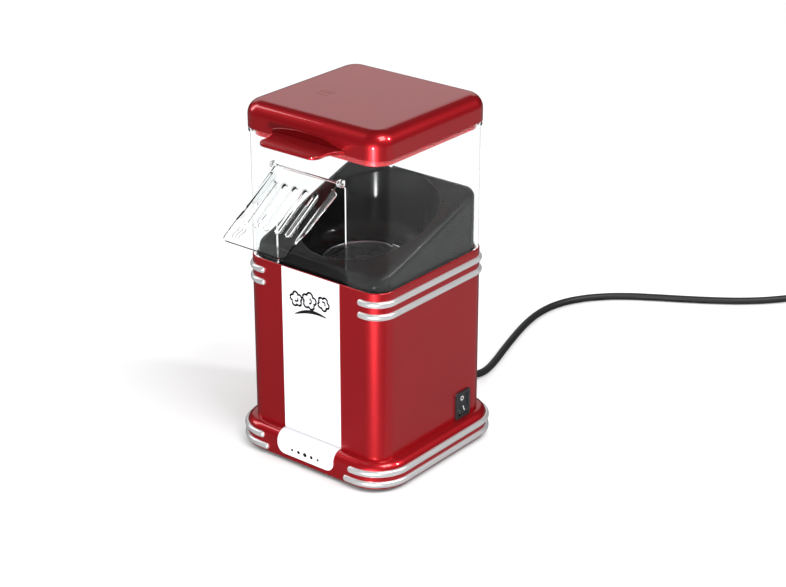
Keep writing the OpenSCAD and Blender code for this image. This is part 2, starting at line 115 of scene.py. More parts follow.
class PopperHousing(bpy.types.PropertyGroup):
    """Roundness of the housing and the plinth."""
    corner: length("Corner", "Radius of the housing's upright corners", 17)
    wall: length("Wall", "Thickness of the plastic shells", 2.4)
    plinth_corner: length("Plinth corner", "Radius of the plinth's upright corners", 30.6)
    shoulder: length("Shoulder", "Radius of the plinth's rounded shoulder", 8)
    deck_corner: length("Deck corner", "Radius of the deck's upright corners", 14)
    deck_edge: length("Deck edge", "Roundness of the deck's top edge", 7)
    deck_tilt: FloatProperty(name="Deck tilt", description="How far the deck slopes to the front",
                             default=math.radians(18.3), subtype="ANGLE")


class PopperChamber(bpy.types.PropertyGroup):
    """The clear chamber, the lid and the flap."""
    clear_wall: length("Clear wall", "Thickness of the clear walls", 2.2)
    lid_edge: length("Lid edge", "Roundness of the lid's top edge", 12)
    tab_corner: length("Tab corner", "Radius of the tab's front corners", 8)
    flap_open: FloatProperty(name="Flap open", description="How far the flap stands open",
                             default=math.radians(56), subtype="ANGLE")
    slot_width: length("Slot width", "Width of each slot in the flap", 3.8)
    slots: IntProperty(name="Slots", description="Number of slots in the flap", default=5, min=1)


class PopperLead(bpy.types.PropertyGroup):
    """The mains lead."""
    diameter: length("Diameter", "Diameter of the lead", 6.5)
    coil_radius: length("Coil radius", "Radius at the middle of the coil's turns", 36)
    turns: IntProperty(name="Turns", description="Turns in the coil", default=3, min=1)


class PopperStage(bpy.types.PropertyGroup):
    """The camera and the light."""
    camera: FloatVectorProperty(name="Camera", description="Where the camera stands",
                                default=(0.943, -1.107, 0.788), subtype="TRANSLATION")
    yaw: FloatProperty(name="Yaw", description="Turn of the camera from the front",
                       default=math.radians(38.92), subtype="ANGLE")
    pitch: FloatProperty(name="Pitch", description="How far the camera looks down",
                         default=math.radians(24.01), subtype="ANGLE")
    lens: FloatProperty(name="Lens", description="Focal length in millimetres", default=89)
    room: FloatProperty(name="Room light", description="Strength of the light all round",
                        default=0.85, min=0)


# ---- Picking and shaping ----

def deselect():
    """Leaves edit mode and selects nothing."""
    if bpy.context.mode != "OBJECT":
        bpy.ops.object.mode_set(mode="OBJECT")
    bpy.ops.object.select_all(action="DESELECT")


def activate(piece):
    """Makes a piece the only one selected."""
    deselect()
    piece.select_set(True)
    bpy.context.view_layer.objects.active = piece


def edit(piece):
    """Opens a piece in edit mode."""
    activate(piece)
    bpy.ops.object.mode_set(mode="EDIT")


def apply_place(piece):
    """Puts a piece's place into its mesh and its origin at the frame's."""
    activate(piece)
    bpy.ops.object.transform_apply(location=True, rotation=True, scale=True)


def pick(piece, kind, test):
    """Selects a piece's vertices, edges or faces, in edit mode, where the test is true."""
    bpy.ops.mesh.select_mode(type=kind)
    bpy.ops.mesh.select_all(action="DESELECT")
    mesh = bmesh.from_edit_mesh(piece.data)
    found = {"VERT": mesh.verts, "EDGE": mesh.edges, "FACE": mesh.faces}[kind]
    for item in found:
        if test(item):
            item.select_set(True)
    mesh.select_flush_mode()
    bmesh.update_edit_mesh(piece.data)


def pick_all(kind):
    """Selects all vertices, edges or faces, in edit mode."""
    bpy.ops.mesh.select_mode(type=kind)
    bpy.ops.mesh.select_all(action="SELECT")


def near(a, b, gap=TOUCH):
    """True if two numbers are within a hair of each other."""
    return abs(a - b) < gap


def along(axis):
    """A test for edges that run along an axis, 0 to 2 for X to Z."""
    others = [i for i in range(3) if i != axis]
    return lambda edge: all(near(edge.verts[0].co[i], edge.verts[1].co[i]) for i in others)


def at_level(axis, value):
    """A test for edges or faces whose corners all lie at one value of an axis."""
    return lambda item: all(near(v.co[axis], value) for v in item.verts)


def facing(axis, sign=1):
    """A test for faces that look along an axis or, with -1, against it."""
    return lambda face: sign * face.normal[axis] > SQUARE


def across(axis):
    """A test for faces square to an axis."""
    return lambda face: abs(face.normal[axis]) > SQUARE


def both(first, second):
    """A test that is true where two tests are."""
    return lambda item: first(item) and second(item)


def pull(x=0, y=0, z=0, kind="region"):
    """Extrudes the selection, or its edges only with kind "edges", by millimetres."""
    extrude = getattr(bpy.ops.mesh, f"extrude_{kind}_move")
    extrude(TRANSFORM_OT_translate={"value": (x * MM, y * MM, z * MM)})


def stretch(shares, centre=(0, 0, 0)):
    """Resizes the selection about a point in millimetres."""
    bpy.ops.transform.resize(value=shares, center_override=mm(*centre))


def round_edges(piece, test, radius, segments):
    """Rounds the edges of a piece that a test picks."""
    edit(piece)
    pick(piece, "EDGE", test)
    bpy.ops.mesh.bevel(offset_type="OFFSET", offset=radius, segments=segments,
                       profile=0.5, affect="EDGES", clamp_overlap=False)
    deselect()


def delete_faces(piece, test):
    """Opens a piece by taking away the faces that a test picks."""
    edit(piece)
    pick(piece, "FACE", test)
    bpy.ops.mesh.delete(type="FACE")
    deselect()


def modify(piece, kind, **settings):
    """Adds a modifier with its settings and applies it."""
    activate(piece)
    bpy.ops.object.modifier_add(type=kind)
    added = piece.modifiers[-1]
    for name, value in settings.items():
        setattr(added, name, value)
    bpy.ops.object.modifier_apply(modifier=added.name)


def carve(piece, tool, operation="DIFFERENCE"):
    """Cuts a tool out of a piece, adds it or keeps what both share, and drops the tool."""
    modify(piece, "BOOLEAN", operation=operation, object=tool, solver="EXACT")
    bpy.data.objects.remove(tool)


def hollow(piece, wall):
    """Gives an open skin its wall, inwards."""
    modify(piece, "SOLIDIFY", thickness=wall, offset=-1, use_even_offset=True)


def soften(piece, radius, segments=2, angle=50):
    """Rounds every sharp edge a little."""
    modify(piece, "BEVEL", width=radius, segments=segments, limit_method="ANGLE",
           angle_limit=math.radians(angle), use_clamp_overlap=True)


def smooth(piece, angle=42):
    """Shades a piece smoothly, with its flat faces kept flat."""
    activate(piece)
    bpy.ops.object.shade_smooth_by_angle(angle=math.radians(angle))
    modify(piece, "WEIGHTED_NORMAL", keep_sharp=True)


def mend(piece):
    """Merges doubled vertices and turns every face outwards."""
    edit(piece)
    pick_all("VERT")
    bpy.ops.mesh.remove_doubles(threshold=1e-6)
    bpy.ops.mesh.normals_make_consistent(inside=False)
    deselect()


def joined(name, pieces):
    """Several pieces as one."""
    deselect()
    for piece in pieces:
        piece.select_set(True)
    bpy.context.view_layer.objects.active = pieces[0]
    bpy.ops.object.join()
    return named(bpy.context.object, name)


def named(piece, name):
    """Names a piece and its mesh."""
    piece.name = name
    piece.data.name = name
    return piece


def copy_of(piece, move):
    """A copy with its own mesh, moved by a vector in metres."""
    activate(piece)
    bpy.ops.object.duplicate()
    bpy.ops.transform.translate(value=move)
    apply_place(bpy.context.object)
    return bpy.context.object


def block(name, low, high):
    """A box between two points in millimetres from the machine's axis."""
    deselect()
    a, b = mm(*low), mm(*high)
    bpy.ops.mesh.primitive_cube_add(size=1, location=(a + b) / 2)
    piece = named(bpy.context.object, name)
    piece.scale = b - a
    apply_place(piece)
    return piece


def pillar(name, width, depth, corner, low, high, middle=(0, 0), segments=14):
    """An upright block on a rectangle with round corners, in millimetres."""
    x, y = middle
    piece = block(name, (x - width / 2, y - depth / 2, low), (x + width / 2, y + depth / 2, high))
    round_edges(piece, along(2), corner * MM, segments)
    return piece


def turned(name, centre, profile, sides=96):
    """A shape of revolution: a ring of edges extruded and resized from point to point.

    The profile's points are (radius, height) in millimetres, upright over the centre."""
    deselect()
    radius, height = profile[0]
    bpy.ops.mesh.primitive_circle_add(vertices=sides, radius=radius * MM,
                                      location=mm(*centre) + Vector((0, 0, height * MM)))
    piece = named(bpy.context.object, name)
    apply_place(piece)
    edit(piece)
    pick_all("EDGE")
    for next_radius, next_height in profile[1:]:
        pull(z=next_height - height)
        share = next_radius / radius
        stretch((share, share, 1), centre)
        radius, height = next_radius, next_height
    deselect()
    return piece


def cap_ends(piece):
    """Closes every open edge of a turned shape with a face."""
    edit(piece)
    bpy.ops.mesh.select_mode(type="EDGE")
    bpy.ops.mesh.select_all(action="DESELECT")
    bpy.ops.mesh.select_non_manifold()
    bpy.ops.mesh.edge_face_add()
    deselect()
    mend(piece)


def arc(centre, radius, start, end, steps):
    """Points on an arc, from one angle in degrees to another."""
    angles = [math.radians(start + (end - start) * i / steps) for i in range(steps + 1)]
    return [(centre[0] + radius * math.cos(a), centre[1] + radius * math.sin(a)) for a in angles]


def turn_to(piece, place, rotation):
    """Turns a piece modelled about the machine's foot and carries it to its place."""
    piece.location -= Vector((0, AXIS_Y, 0))
    apply_place(piece)
    piece.rotation_euler = rotation
    piece.location = mm(*place)
    apply_place(piece)


def drawn_line(name, points, radius=0.0, sizes=None, profile=None, closed=False):
    """A line through points in the frame, as a mesh with a round or a given section."""
    deselect()
    bpy.ops.curve.primitive_nurbs_path_add()
    piece = named(bpy.context.object, name)
    piece.location = (0, 0, 0)
    curve = piece.data
    curve.splines.clear()
    line = curve.splines.new("POLY")
    line.points.add(len(points) - 1)
    for i, point in enumerate(points):
        line.points[i].co = (*point, 1)
        line.points[i].radius = sizes[i] if sizes else 1.0
    line.use_cyclic_u = closed
    curve.dimensions = "3D"
    curve.twist_mode = "Z_UP"
    curve.use_fill_caps = True
    if profile:
        curve.bevel_mode = "OBJECT"
        curve.bevel_object = profile
    else:
        curve.bevel_depth = radius
        curve.bevel_resolution = 4
    activate(piece)
    bpy.ops.object.convert(target="MESH")
    mend(piece)
    return piece


def steam(radius, place):
    """Three raised wavy lines, a plain sign for steam, their points placed by line and step."""
    return [drawn_line("steam_line", [mm(*place(i, t)) for t in range(13)], radius * MM)
            for i in range(3)]


def settle(piece, body, slot, *replaced, finish=None):
    """Hands a finished piece to the frame with its body, finish and the nodes it stands for."""
    piece.data.materials.clear()
    piece.data.materials.append(finishes[finish or slot])
    if piece.type == "MESH":
        for face in piece.data.polygons:
            face.material_index = 0
    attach(piece, body)
    if replaced:
        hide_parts(*replaced)


# ---- Finishes ----

class Signal:
    """A shader socket that stands for a number in a sum."""

    def __init__(self, finish, socket):
        self.finish = finish
        self.socket = socket

    def maths(self, operation, *values):
        return self.finish.node("ShaderNodeMath", {"operation": operation}, values)

    def __add__(self, other):
        return self.maths("ADD", self, other)

    __radd__ = __add__

    def __mul__(self, other):
        return self.maths("MULTIPLY", self, other)

    __rmul__ = __mul__


class Finish:
    """A material whose patterns lie on the piece's own object coordinates."""

    def __init__(self, name):
        self.material = bpy.data.materials.new(name)
        self.material.use_nodes = True
        self.tree = self.material.node_tree
        self.tree.nodes.clear()
        self.place = self.node("ShaderNodeTexCoord", output="Object")

    def node(self, kind, settings=None, values=(), output=0):
        """Any node: its settings first, then the values or links of its sockets."""
        made = self.tree.nodes.new(kind)
        for name, value in (settings or {}).items():
            setattr(made, name, value)
        pairs = values.items() if isinstance(values, dict) else enumerate(values)
        for key, value in pairs:
            if isinstance(value, Signal):
                self.tree.links.new(value.socket, made.inputs[key])
            else:
                made.inputs[key].default_value = value
        return Signal(self, made.outputs[output]) if made.outputs else made

    def noise(self, scale, detail, place=None):
        """Soft noise from 0 to 1, in cells per metre."""
        return self.node("ShaderNodeTexNoise",
                         values={"Vector": place or self.place, "Scale": scale, "Detail": detail})

    def stretched(self, x, y, z):
        """Object coordinates drawn out, for brushed and drawn grain."""
        return self.node("ShaderNodeMapping", values={"Vector": self.place, "Scale": (x, y, z)})

    def blend(self, share, first, second):
        """A colour between two colours."""
        return self.node("ShaderNodeMix", {"data_type": "RGBA"},
                         {0: share, 6: (*first, 1), 7: (*second, 1)}, output=2)

    def bump(self, height, strength, distance):
        """A normal raised by a height."""
        return self.node("ShaderNodeBump",
                         values={"Height": height, "Strength": strength, "Distance": distance})

    def show(self, shader):
        """Sends a shader to the material's surface."""
        self.node("ShaderNodeOutputMaterial", values={"Surface": shader})
        return self.material

    def principled(self, **values):
        """The main shader, its sockets named with underscores for spaces."""
        named_values = {name.replace("_", " "): value for name, value in values.items()}
        return self.node("ShaderNodeBsdfPrincipled", values=named_values)


def scaled(shade, amount):
    """A colour made lighter or darker."""
    return tuple(min(1.0, c * amount) for c in shade)


def lacquer(shade):
    """Metallic lacquer: fine flakes under a clear coat, with slow clouds of sheen."""
    f = Finish("red_lacquer")
    flakes = f.noise(2600, 1)
    clouds = f.noise(14, 3)
    return f.show(f.principled(
        Base_Color=f.blend(flakes * 0.6 + clouds * 0.4, scaled(shade, 0.72), scaled(shade, 1.3)),
        Metallic=0.75,
        Roughness=clouds * 0.04 + flakes * 0.06 + 0.35,
        Normal=f.bump(flakes, 0.05, 0.00005),
        Coat_Weight=1.0, Coat_Roughness=0.04, Coat_IOR=1.5))


def gloss(name, shade, roughness, specular=0.5):
    """Moulded gloss plastic: even colour, a faint ripple and small handling marks."""
    f = Finish(name)
    marks = f.noise(45, 4)
    skin = f.noise(240, 2)
    return f.show(f.principled(
        Base_Color=f.blend(marks, scaled(shade, 0.96), scaled(shade, 1.03)),
        Roughness=marks * 0.05 + roughness,
        Normal=f.bump(skin, 0.03, 0.00006),
        Specular_IOR_Level=specular))


def satin_metal(name, shade, roughness, grain=(1, 1, 1), metallic=1.0):
    """Plated or spun metal, with fine grain drawn along the piece."""
    f = Finish(name)
    lines = f.noise(900, 2, f.stretched(*grain))
    stain = f.noise(30, 3)
    return f.show(f.principled(
        Base_Color=f.blend(lines * 0.5 + stain * 0.5, scaled(shade, 0.88), scaled(shade, 1.06)),
        Metallic=metallic,
        Roughness=lines * 0.1 + stain * 0.06 + roughness,
        Normal=f.bump(lines, 0.06, 0.00004)))


def moulded(name, shade, roughness, grain=900):
    """Matt moulded plastic or rubber with a fine spark-eroded grain."""
    f = Finish(name)
    pits = f.noise(grain, 3)
    wear = f.noise(35, 3)
    return f.show(f.principled(
        Base_Color=f.blend(wear, scaled(shade, 0.85), scaled(shade, 1.2)),
        Roughness=pits * 0.12 + wear * 0.08 + roughness,
        Normal=f.bump(pits, 0.14, 0.00008)))


def wound(name, shade):
    """Enamelled wire laid side by side, with painted shade darkening the grooves between the turns.
    """
    f = Finish(name)
    wires = f.node("ShaderNodeTexWave", {"bands_direction": "Z"},
                   {"Vector": f.place, "Scale": 420.0, "Distortion": 0.6})
    return f.show(f.principled(
        # The colour falls to 0.45 of the copper in the grooves between the turns: painted shade.
        Base_Color=f.blend(wires, scaled(shade, 0.45), shade),
        Metallic=0.8, Roughness=wires * -0.1 + 0.42,
        Normal=f.bump(wires, 0.5, 0.0003)))


def clear_plastic(name, shade, bend):
    """Clear moulded plastic that light passes through without a dark shadow."""
    f = Finish(name)
    haze = f.noise(30, 3)
    body = f.principled(Base_Color=(*shade, 1), Roughness=haze * 0.02,
                        IOR=bend, Transmission_Weight=1.0)
    lamp = f.node("ShaderNodeLightPath", output="Is Shadow Ray")
    through = f.node("ShaderNodeBsdfTransparent", values={"Color": (*scaled(shade, 0.98), 1)})
    return f.show(f.node("ShaderNodeMixShader", values=(lamp, body, through)))


finishes = {}


def make_finishes(colours):
    """One finish for each slot of the record."""
    finishes.update(
        red_plastic=lacquer(tuple(colours.lacquer)),
        white_plastic=gloss("gloss_white", tuple(colours.panel), 0.16),
        satin_trim=satin_metal("satin_strip", tuple(colours.strip), 0.24, metallic=0.72),
        gloss_black=gloss("gloss_black", tuple(colours.deck), 0.1, 0.1),
        black_plastic=moulded("matt_black", (0.02, 0.02, 0.021), 0.45),
        rocker_plastic=gloss("rocker_black", (0.018, 0.02, 0.021), 0.3),
        clear_plastic=clear_plastic("chamber_clear", tuple(colours.clear), 1.2),
        flap_clear=clear_plastic("flap_clear", tuple(colours.clear), 1.33),
        rubber=moulded("foot_rubber", (0.02, 0.02, 0.02), 0.6, 500),
        lead_rubber=moulded("lead_sheath", (0.014, 0.014, 0.015), 0.36, 700),
        aluminium=satin_metal("spun_aluminium", (0.5, 0.5, 0.51), 0.2, (0.05, 0.05, 1)),
        zinc_steel=satin_metal("zinc_plate", (0.62, 0.62, 0.6), 0.35),
        bright_steel=satin_metal("bright_steel", (0.72, 0.72, 0.72), 0.2, (1, 1, 0.06)),
        mica=moulded("mica_sheet", (0.5, 0.42, 0.3), 0.5, 120),
        nichrome=satin_metal("oxidised_wire", (0.2, 0.18, 0.17), 0.5),
        fan_plastic=moulded("fan_nylon", (0.66, 0.62, 0.52), 0.45),
        copper_winding=wound("copper_winding", (0.75, 0.3, 0.13)),
        ferrite=moulded("ferrite", (0.05, 0.05, 0.055), 0.6, 400),
        bronze=satin_metal("bronze", (0.7, 0.48, 0.2), 0.3),
        circuit_board=moulded("circuit_board", (0.02, 0.14, 0.05), 0.35, 300),
        nylon=moulded("natural_nylon", (0.8, 0.78, 0.7), 0.42),
    )


# ---- Stage and lead ----

def soft_light(name, place, target, size, power):
    """A square soft light that looks from one point to another."""
    deselect()
    aim = (Vector(target) - Vector(place)).to_track_quat("-Z", "Y").to_euler()
    bpy.ops.object.light_add(type="AREA", location=place, rotation=aim)
    light = bpy.context.object
    light.name = name
    light.data.shape = "RECTANGLE"
    light.data.size, light.data.size_y = size
    light.data.energy = power
    light.visible_camera = False


# Name, place in metres, height looked at in millimetres, width and height in metres, and watts
LIGHTS = (
    ("key", (1.2, -0.2, 1.9), 150, (0.9, 0.9), 22),
    ("corner", (0.42, -0.9, 0.05), 90, (0.06, 0.08), 10),
    ("edge", (1.4, 0.7, 1.35), 150, (0.2, 0.2), 12),
    ("left", (-1.5, -0.5, 1.1), 150, (0.5, 1.2), 8),
    ("backdrop", (-1.9, 2.1, 1.4), 150, (3.2, 1.6), 10))


class POPPER_OT_stage(bpy.types.Operator):
    """Sets out the floor, the lights and the camera"""
    bl_idname = "popper.stage"
    bl_label = "Stage"

    def execute(self, context):
        stage = context.scene.popper_stage
        deselect()
        floor = self.sheet("floor", "pale_floor", 4, 14, (0, 0, -0.0003), 0.82)
        floor.visible_glossy = False
        # Dim sheets stand for the floor in the gloss, a brighter one at the right side
        front = self.gloss_sheet("front_sheet", 8, (0, 0, -0.00028), 0.07)
        side = self.gloss_sheet("side_sheet", 3, (1.59, 1.45, -0.00024), 0.18)

        world = bpy.data.worlds.new("studio")
        world.use_nodes = True
        background = world.node_tree.nodes["Background"]
        background.inputs["Color"].default_value = (1, 1, 1, 1)
        background.inputs["Strength"].default_value = stage.room
        context.scene.world = world
        world.cycles_visibility.glossy = False
        context.scene.view_settings.view_transform = "Standard"

        for name, place, aim_height, size, power in LIGHTS:
            soft_light(name, place, mm(0, 0, aim_height), size, power)

        deselect()
        bpy.ops.object.camera_add(location=stage.camera,
                                  rotation=(math.pi / 2 - stage.pitch, 0, stage.yaw))
        camera = context.object
        camera.data.sensor_width = 36
        camera.data.lens = stage.lens
        context.scene.camera = camera
        return {"FINISHED"}

    def matt_grey(self, name, shade):
        """An even matt grey."""
        f = Finish(name)
        grey = (shade, shade, shade)
        return f.show(f.principled(Base_Color=f.blend(f.noise(3, 2), grey, scaled(grey, 1.04)),
                                   Roughness=0.9, Specular_IOR_Level=0.1))

    def sheet(self, name, finish, parts, size, place, shade):
        """A level square sheet of matt grey."""
        bpy.ops.mesh.primitive_grid_add(x_subdivisions=parts, y_subdivisions=parts, size=size,
                                        location=place)
        sheet = named(bpy.context.object, name)
        sheet.data.materials.append(self.matt_grey(finish, shade))
        return sheet

    def gloss_sheet(self, name, size, place, shade):
        """A sheet that only shows in gloss."""
        sheet = self.sheet(name, name, 2, size, place, shade)
        for ray in ("camera", "diffuse", "transmission", "shadow"):
            setattr(sheet, "visible_" + ray, False)
        return sheet


# The lead's way from its bushing to the coil, and from the coil to the plug
LEAD_RUN = [
    (12, 108, 13), (12, 116, 12.6), (12, 126, 10.6), (12, 138, 7), (11.2, 150, 4.4),
    (9, 163, 3.3), (4.5, 180, 3.25), (-2, 200, 3.25), (-9.5, 224, 3.25), (-16.5, 248, 3.25),
    (-22, 272, 3.25), (-24.5, 296, 3.25), (-22, 320, 3.25), (-13, 342, 3.25), (1, 361, 3.25),
    (20, 378, 3.25), (43, 393, 3.25), (68, 408, 3.25), (93, 424, 3.25), (117, 442, 3.25),
    (137, 462, 3.25), (152, 483, 3.3), (161, 503, 3.9)]
LEAD_TAIL = [(164.8, 536, 10.7), (164.8, 550, 9.6), (164.8, 564, 8.8)]
COIL_CENTRE = (204, 524, 7.85)
STEPS_PER_TURN = 24
TURNS_PER_BUNDLE = 4    # the turns lie round the bundle's middle, a quarter of the way each


def coil_points(lead):
    """The coil's turns, which lie beside and on each other round the middle of the bundle."""
    bundle = lead.diameter / MM / math.sqrt(2)
    points = []
    for step in range(lead.turns * STEPS_PER_TURN + 1):
        turn = step / STEPS_PER_TURN
        around = math.pi - 2 * math.pi * turn
        within = -math.pi / 4 - 2 * math.pi * turn / TURNS_PER_BUNDLE
        radius = lead.coil_radius / MM + bundle * math.cos(within)
        points.append((COIL_CENTRE[0] + radius * math.cos(around),
                       COIL_CENTRE[1] + radius * math.sin(around),
                       COIL_CENTRE[2] + bundle * math.sin(within)))
    return points


class POPPER_OT_lead(bpy.types.Operator):
    """Lays the mains lead with its bushing, coil, tie and plug"""
    bl_idname = "popper.lead"
    bl_label = "Mains lead"

    def execute(self, context):
        lead = context.scene.popper_lead
        route = [mm(*place) for place in LEAD_RUN + coil_points(lead) + LEAD_TAIL]
        cord = self.smooth_curve(route, lead.diameter / 2)
        settle(cord, "base", "lead_rubber",
               "lead_run", "lead_coil", "lead_tail")
        bushing, tie, plug, pins = self.bushing(), self.tie(), self.plug(), self.pins()
        for piece, slot, node in ((bushing, "lead_rubber", "lead_bushing"),
                                  (tie, "black_plastic", "lead_tie"),
                                  (plug, "lead_rubber", "plug_body"),
                                  (pins, "bright_steel", "plug_pins")):
            settle(piece, "base", slot, node)
        return {"FINISHED"}

    def smooth_curve(self, route, radius):
        """One open spline through the route."""
        deselect()
        bpy.ops.curve.primitive_bezier_curve_add()
        cord = named(bpy.context.object, "mains_lead")
        cord.location = (0, 0, 0)
        curve = cord.data
        curve.splines.clear()
        line = curve.splines.new("BEZIER")
        line.bezier_points.add(len(route) - 1)
        for knot, point in zip(line.bezier_points, route):
            knot.co = point
            knot.handle_left_type = "AUTO"
            knot.handle_right_type = "AUTO"
        curve.dimensions = "3D"
        curve.resolution_u = 6
        curve.bevel_depth = radius
        curve.bevel_resolution = 5
        curve.use_fill_caps = True
        return cord

    def bushing(self):
        """The tapered strain relief, with ribs that let it bend."""
        low, high = box_mm("lead_bushing")
        flange_r = (high.x - low.x) / 2
        face = box_mm("plinth")[1].y
        reach = high.y - face
        profile = [(4.9, -5), (flange_r, -5), (flange_r, -2.6), (4.9, -2.6), (4.9, 0.1),
                   (flange_r - 0.4, 0.1), (flange_r, 0.5), (flange_r, 1.6), (flange_r - 0.4, 2)]
        ribs = 7
        pitch = (reach - 4) / ribs
        for i in range(ribs):
            foot = 2.2 + i * pitch
            outer = 5.6 - 1.45 * (foot / reach)
            profile += [(outer - 1.0, foot), (outer - 1.0, foot + pitch * 0.35),
                        (outer, foot + pitch * 0.42), (outer - 0.1, foot + pitch * 0.95)]
        profile += [(4.1, reach - 1.2), (3.9, reach - 0.3), (3.3, reach)]
        piece = turned("lead_bushing_ribbed", (0, 0, 0), profile, 48)
        cap_ends(piece)
        middle = middle_mm("lead_bushing")
        turn_to(piece, (middle.x, face, middle.z), (-math.pi / 2, 0, 0))
        smooth(piece, 50)
        return piece

    def tie(self):
        """A strap round the coil's bundle."""
        low, high = box_mm("lead_tie")
        piece = block("lead_strap", low, high)
        round_edges(piece, along(1), 5.5 * MM, 6)
        delete_faces(piece, across(1))
        hollow(piece, 0.9 * MM)
        soften(piece, 0.3 * MM)
        smooth(piece)
        return piece

    def plug(self):
        """The moulded two-pin plug, waisted where fingers hold it."""
        low, high = box_mm("plug_body")
        middle = middle_mm("plug_body")
        piece = block("plug_moulding", (low.x, high.y - 20, low.z), (high.x, high.y, high.z))
        edit(piece)
        for step, share in ((6, 0.86), (5, 0.62), (3, 0.5)):
            pick(piece, "FACE", facing(1, -1))
            pull(y=-step)
            stretch((share, 1, 0.5 + share / 2), (middle.x, 0, middle.z))
        deselect()
        round_edges(piece, lambda edge: edge.calc_face_angle(0) > 0.2
                    and abs((edge.verts[0].co - edge.verts[1].co).normalized().y) > 0.35,
                    3.2 * MM, 5)
        soften(piece, 1.0 * MM, 3, 35)
        smooth(piece, 50)
        return piece

    def pins(self):
        """Two round pins with domed tips."""
        low, high = box_mm("plug_pins")
        radius = (high.z - low.z) / 2
        reach = high.y - low.y
        profile = [(radius, 0), (radius, reach - 1.6)]
        profile += arc((radius - 1.6, reach - 1.6), 1.6, 15, 80, 5)
        pin = turned("pin", (0, 0, 0), profile, 32)
        cap_ends(pin)
        turn_to(pin, (low.x + radius, low.y, low.z + radius), (-math.pi / 2, 0, 0))
        other = copy_of(pin, ((high.x - low.x - 2 * radius) * MM, 0, 0))
        piece = joined("plug_pin_pair", [pin, other])
        smooth(piece)
        return piece


# ---- Base and housing ----

AIR_WAY_RADIUS = 50
LEAD_WAY_RADIUS = 5
COLUMN_PLACE = 44       # how far each column stands from the middle, along X and along Y
LIP = 2.6               # how much narrower than the housing the opening in its top is
LEDGE_RISE = 9          # height of the ledge's top over the foot of the bowl


class POPPER_OT_plinth(bpy.types.Operator):
    """Models the plinth with its rounded shoulder, and its rubber feet"""
    bl_idname = "popper.plinth"
    bl_label = "Plinth and feet"

    def execute(self, context):
        sizes = context.scene.popper_housing
        low, high = box_mm("plinth")
        top = box_mm("body_shell")[0].z
        width, depth = high.x - low.x, high.y - low.y
        plinth = pillar("plinth_shell", width, depth, sizes.plinth_corner / MM, low.z, top,
                        segments=20)
        round_edges(plinth, at_level(2, top * MM), sizes.shoulder, 8)
        delete_faces(plinth, at_level(2, low.z * MM))
        hollow(plinth, sizes.wall)
        carve(plinth, self.hole("air_way", AIR_WAY_RADIUS, top - 12, top + 8))
        middle = middle_mm("lead_bushing")
        way = self.hole("lead_way", LEAD_WAY_RADIUS, 0, 14)
        turn_to(way, (middle.x, high.y - 7, middle.z), (-math.pi / 2, 0, 0))
        carve(plinth, way)
        columns = [self.column(x, y, top - 1, high.z) for x in (-COLUMN_PLACE, COLUMN_PLACE)
                   for y in (-COLUMN_PLACE, COLUMN_PLACE)]
        plinth = joined("plinth_shell", [plinth, *columns])
        smooth(plinth)
        settle(plinth, "base", "red_plastic", "plinth")
        self.feet()
        return {"FINISHED"}

    def hole(self, name, radius, low, high):
        """A round cutter."""
        tool = turned(name, (0, 0, 0), [(radius, low), (radius, high)])
        cap_ends(tool)
        return tool

    def column(self, x, y, low, high):
        """A post that carries the fan housing, with a rounded top."""
        post = turned("column", (x, y, 0),
                      [(4.6, low), (4, low + 3), (4, high - 0.6), (3.4, high), (1.4, high),
                       (1.4, high - 12)], 24)
        cap_ends(post)
        return post

    def feet(self):
        """Four rubber feet, ground flat below and rounded at their rims."""
        low, high = box_mm("rubber_feet")
        x, y = high.x - 7, high.y - 7
        rim = box_mm("bottom_plate")[0].z
        profile = [(2.4, 0.9), (3.0, 0.0), (5.8, 0.0)] + arc((5.9, 0.7), 0.7, -80, 0, 4)
        profile += [(7, rim - 0.3), (6.7, rim), (2, rim), (2, high.z - 1.2), (2.6, high.z - 1),
                    (2.4, high.z)]
        foot = turned("foot", (-x, -y, 0), profile, 32)
        cap_ends(foot)
        feet = [foot] + [copy_of(foot, (2 * x * i * MM, 2 * y * j * MM, 0))
                         for i, j in ((1, 0), (0, 1), (1, 1))]
        piece = joined("foot_set", feet)
        smooth(piece)
        settle(piece, "base", "rubber", "rubber_feet")


class POPPER_OT_housing(bpy.types.Operator):
    """Models the housing with its ledge and the cut-out for the switch"""
    bl_idname = "popper.housing"
    bl_label = "Housing"

    def execute(self, context):
        sizes = context.scene.popper_housing
        low, high = box_mm("body_shell")
        width, depth, corner = high.x - low.x, high.y - low.y, sizes.corner / MM
        wall = sizes.wall / MM
        shell = pillar("housing_shell", width, depth, corner, low.z, high.z, segments=16)
        delete_faces(shell, across(2))
        # A narrow rounded lip turns in at the top
        edit(shell)
        pick(shell, "EDGE", at_level(2, high.z * MM))
        pull(kind="edges")
        stretch((1 - LIP / width, 1 - LIP / depth, 1), (0, 0, high.z))
        deselect()
        round_edges(shell, lambda edge: at_level(2, high.z * MM)(edge) and len(edge.link_faces) == 2
                    and edge.calc_face_angle(0) > 1, 0.9 * MM, 4)
        hollow(shell, sizes.wall)
        ledge_z = box_mm("bowl_deck")[0].z + LEDGE_RISE
        ledge = pillar("ledge", width - 2 * wall + 0.6, depth - 2 * wall + 0.6, corner - wall,
                       ledge_z - 3, ledge_z)
        inner = pillar("ledge_way", width - 2 * wall - 11, depth - 2 * wall - 11, corner - wall - 5,
                       ledge_z - 6, ledge_z + 3)
        carve(ledge, inner)
        middle = middle_mm("switch_case")
        way = block("switch_way", (high.x - 6, middle.y - 7.8, middle.z - 10.8),
                    (high.x + 6, middle.y + 7.8, middle.z + 10.8))
        carve(shell, way)
        shell = joined("housing_shell", [shell, ledge])
        smooth(shell)
        settle(shell, "base", "red_plastic", "body_shell")
        return {"FINISHED"}


STRIP_CORNERS = ((1, -1, -90), (1, 1, 0), (-1, 1, 90), (-1, -1, 180))


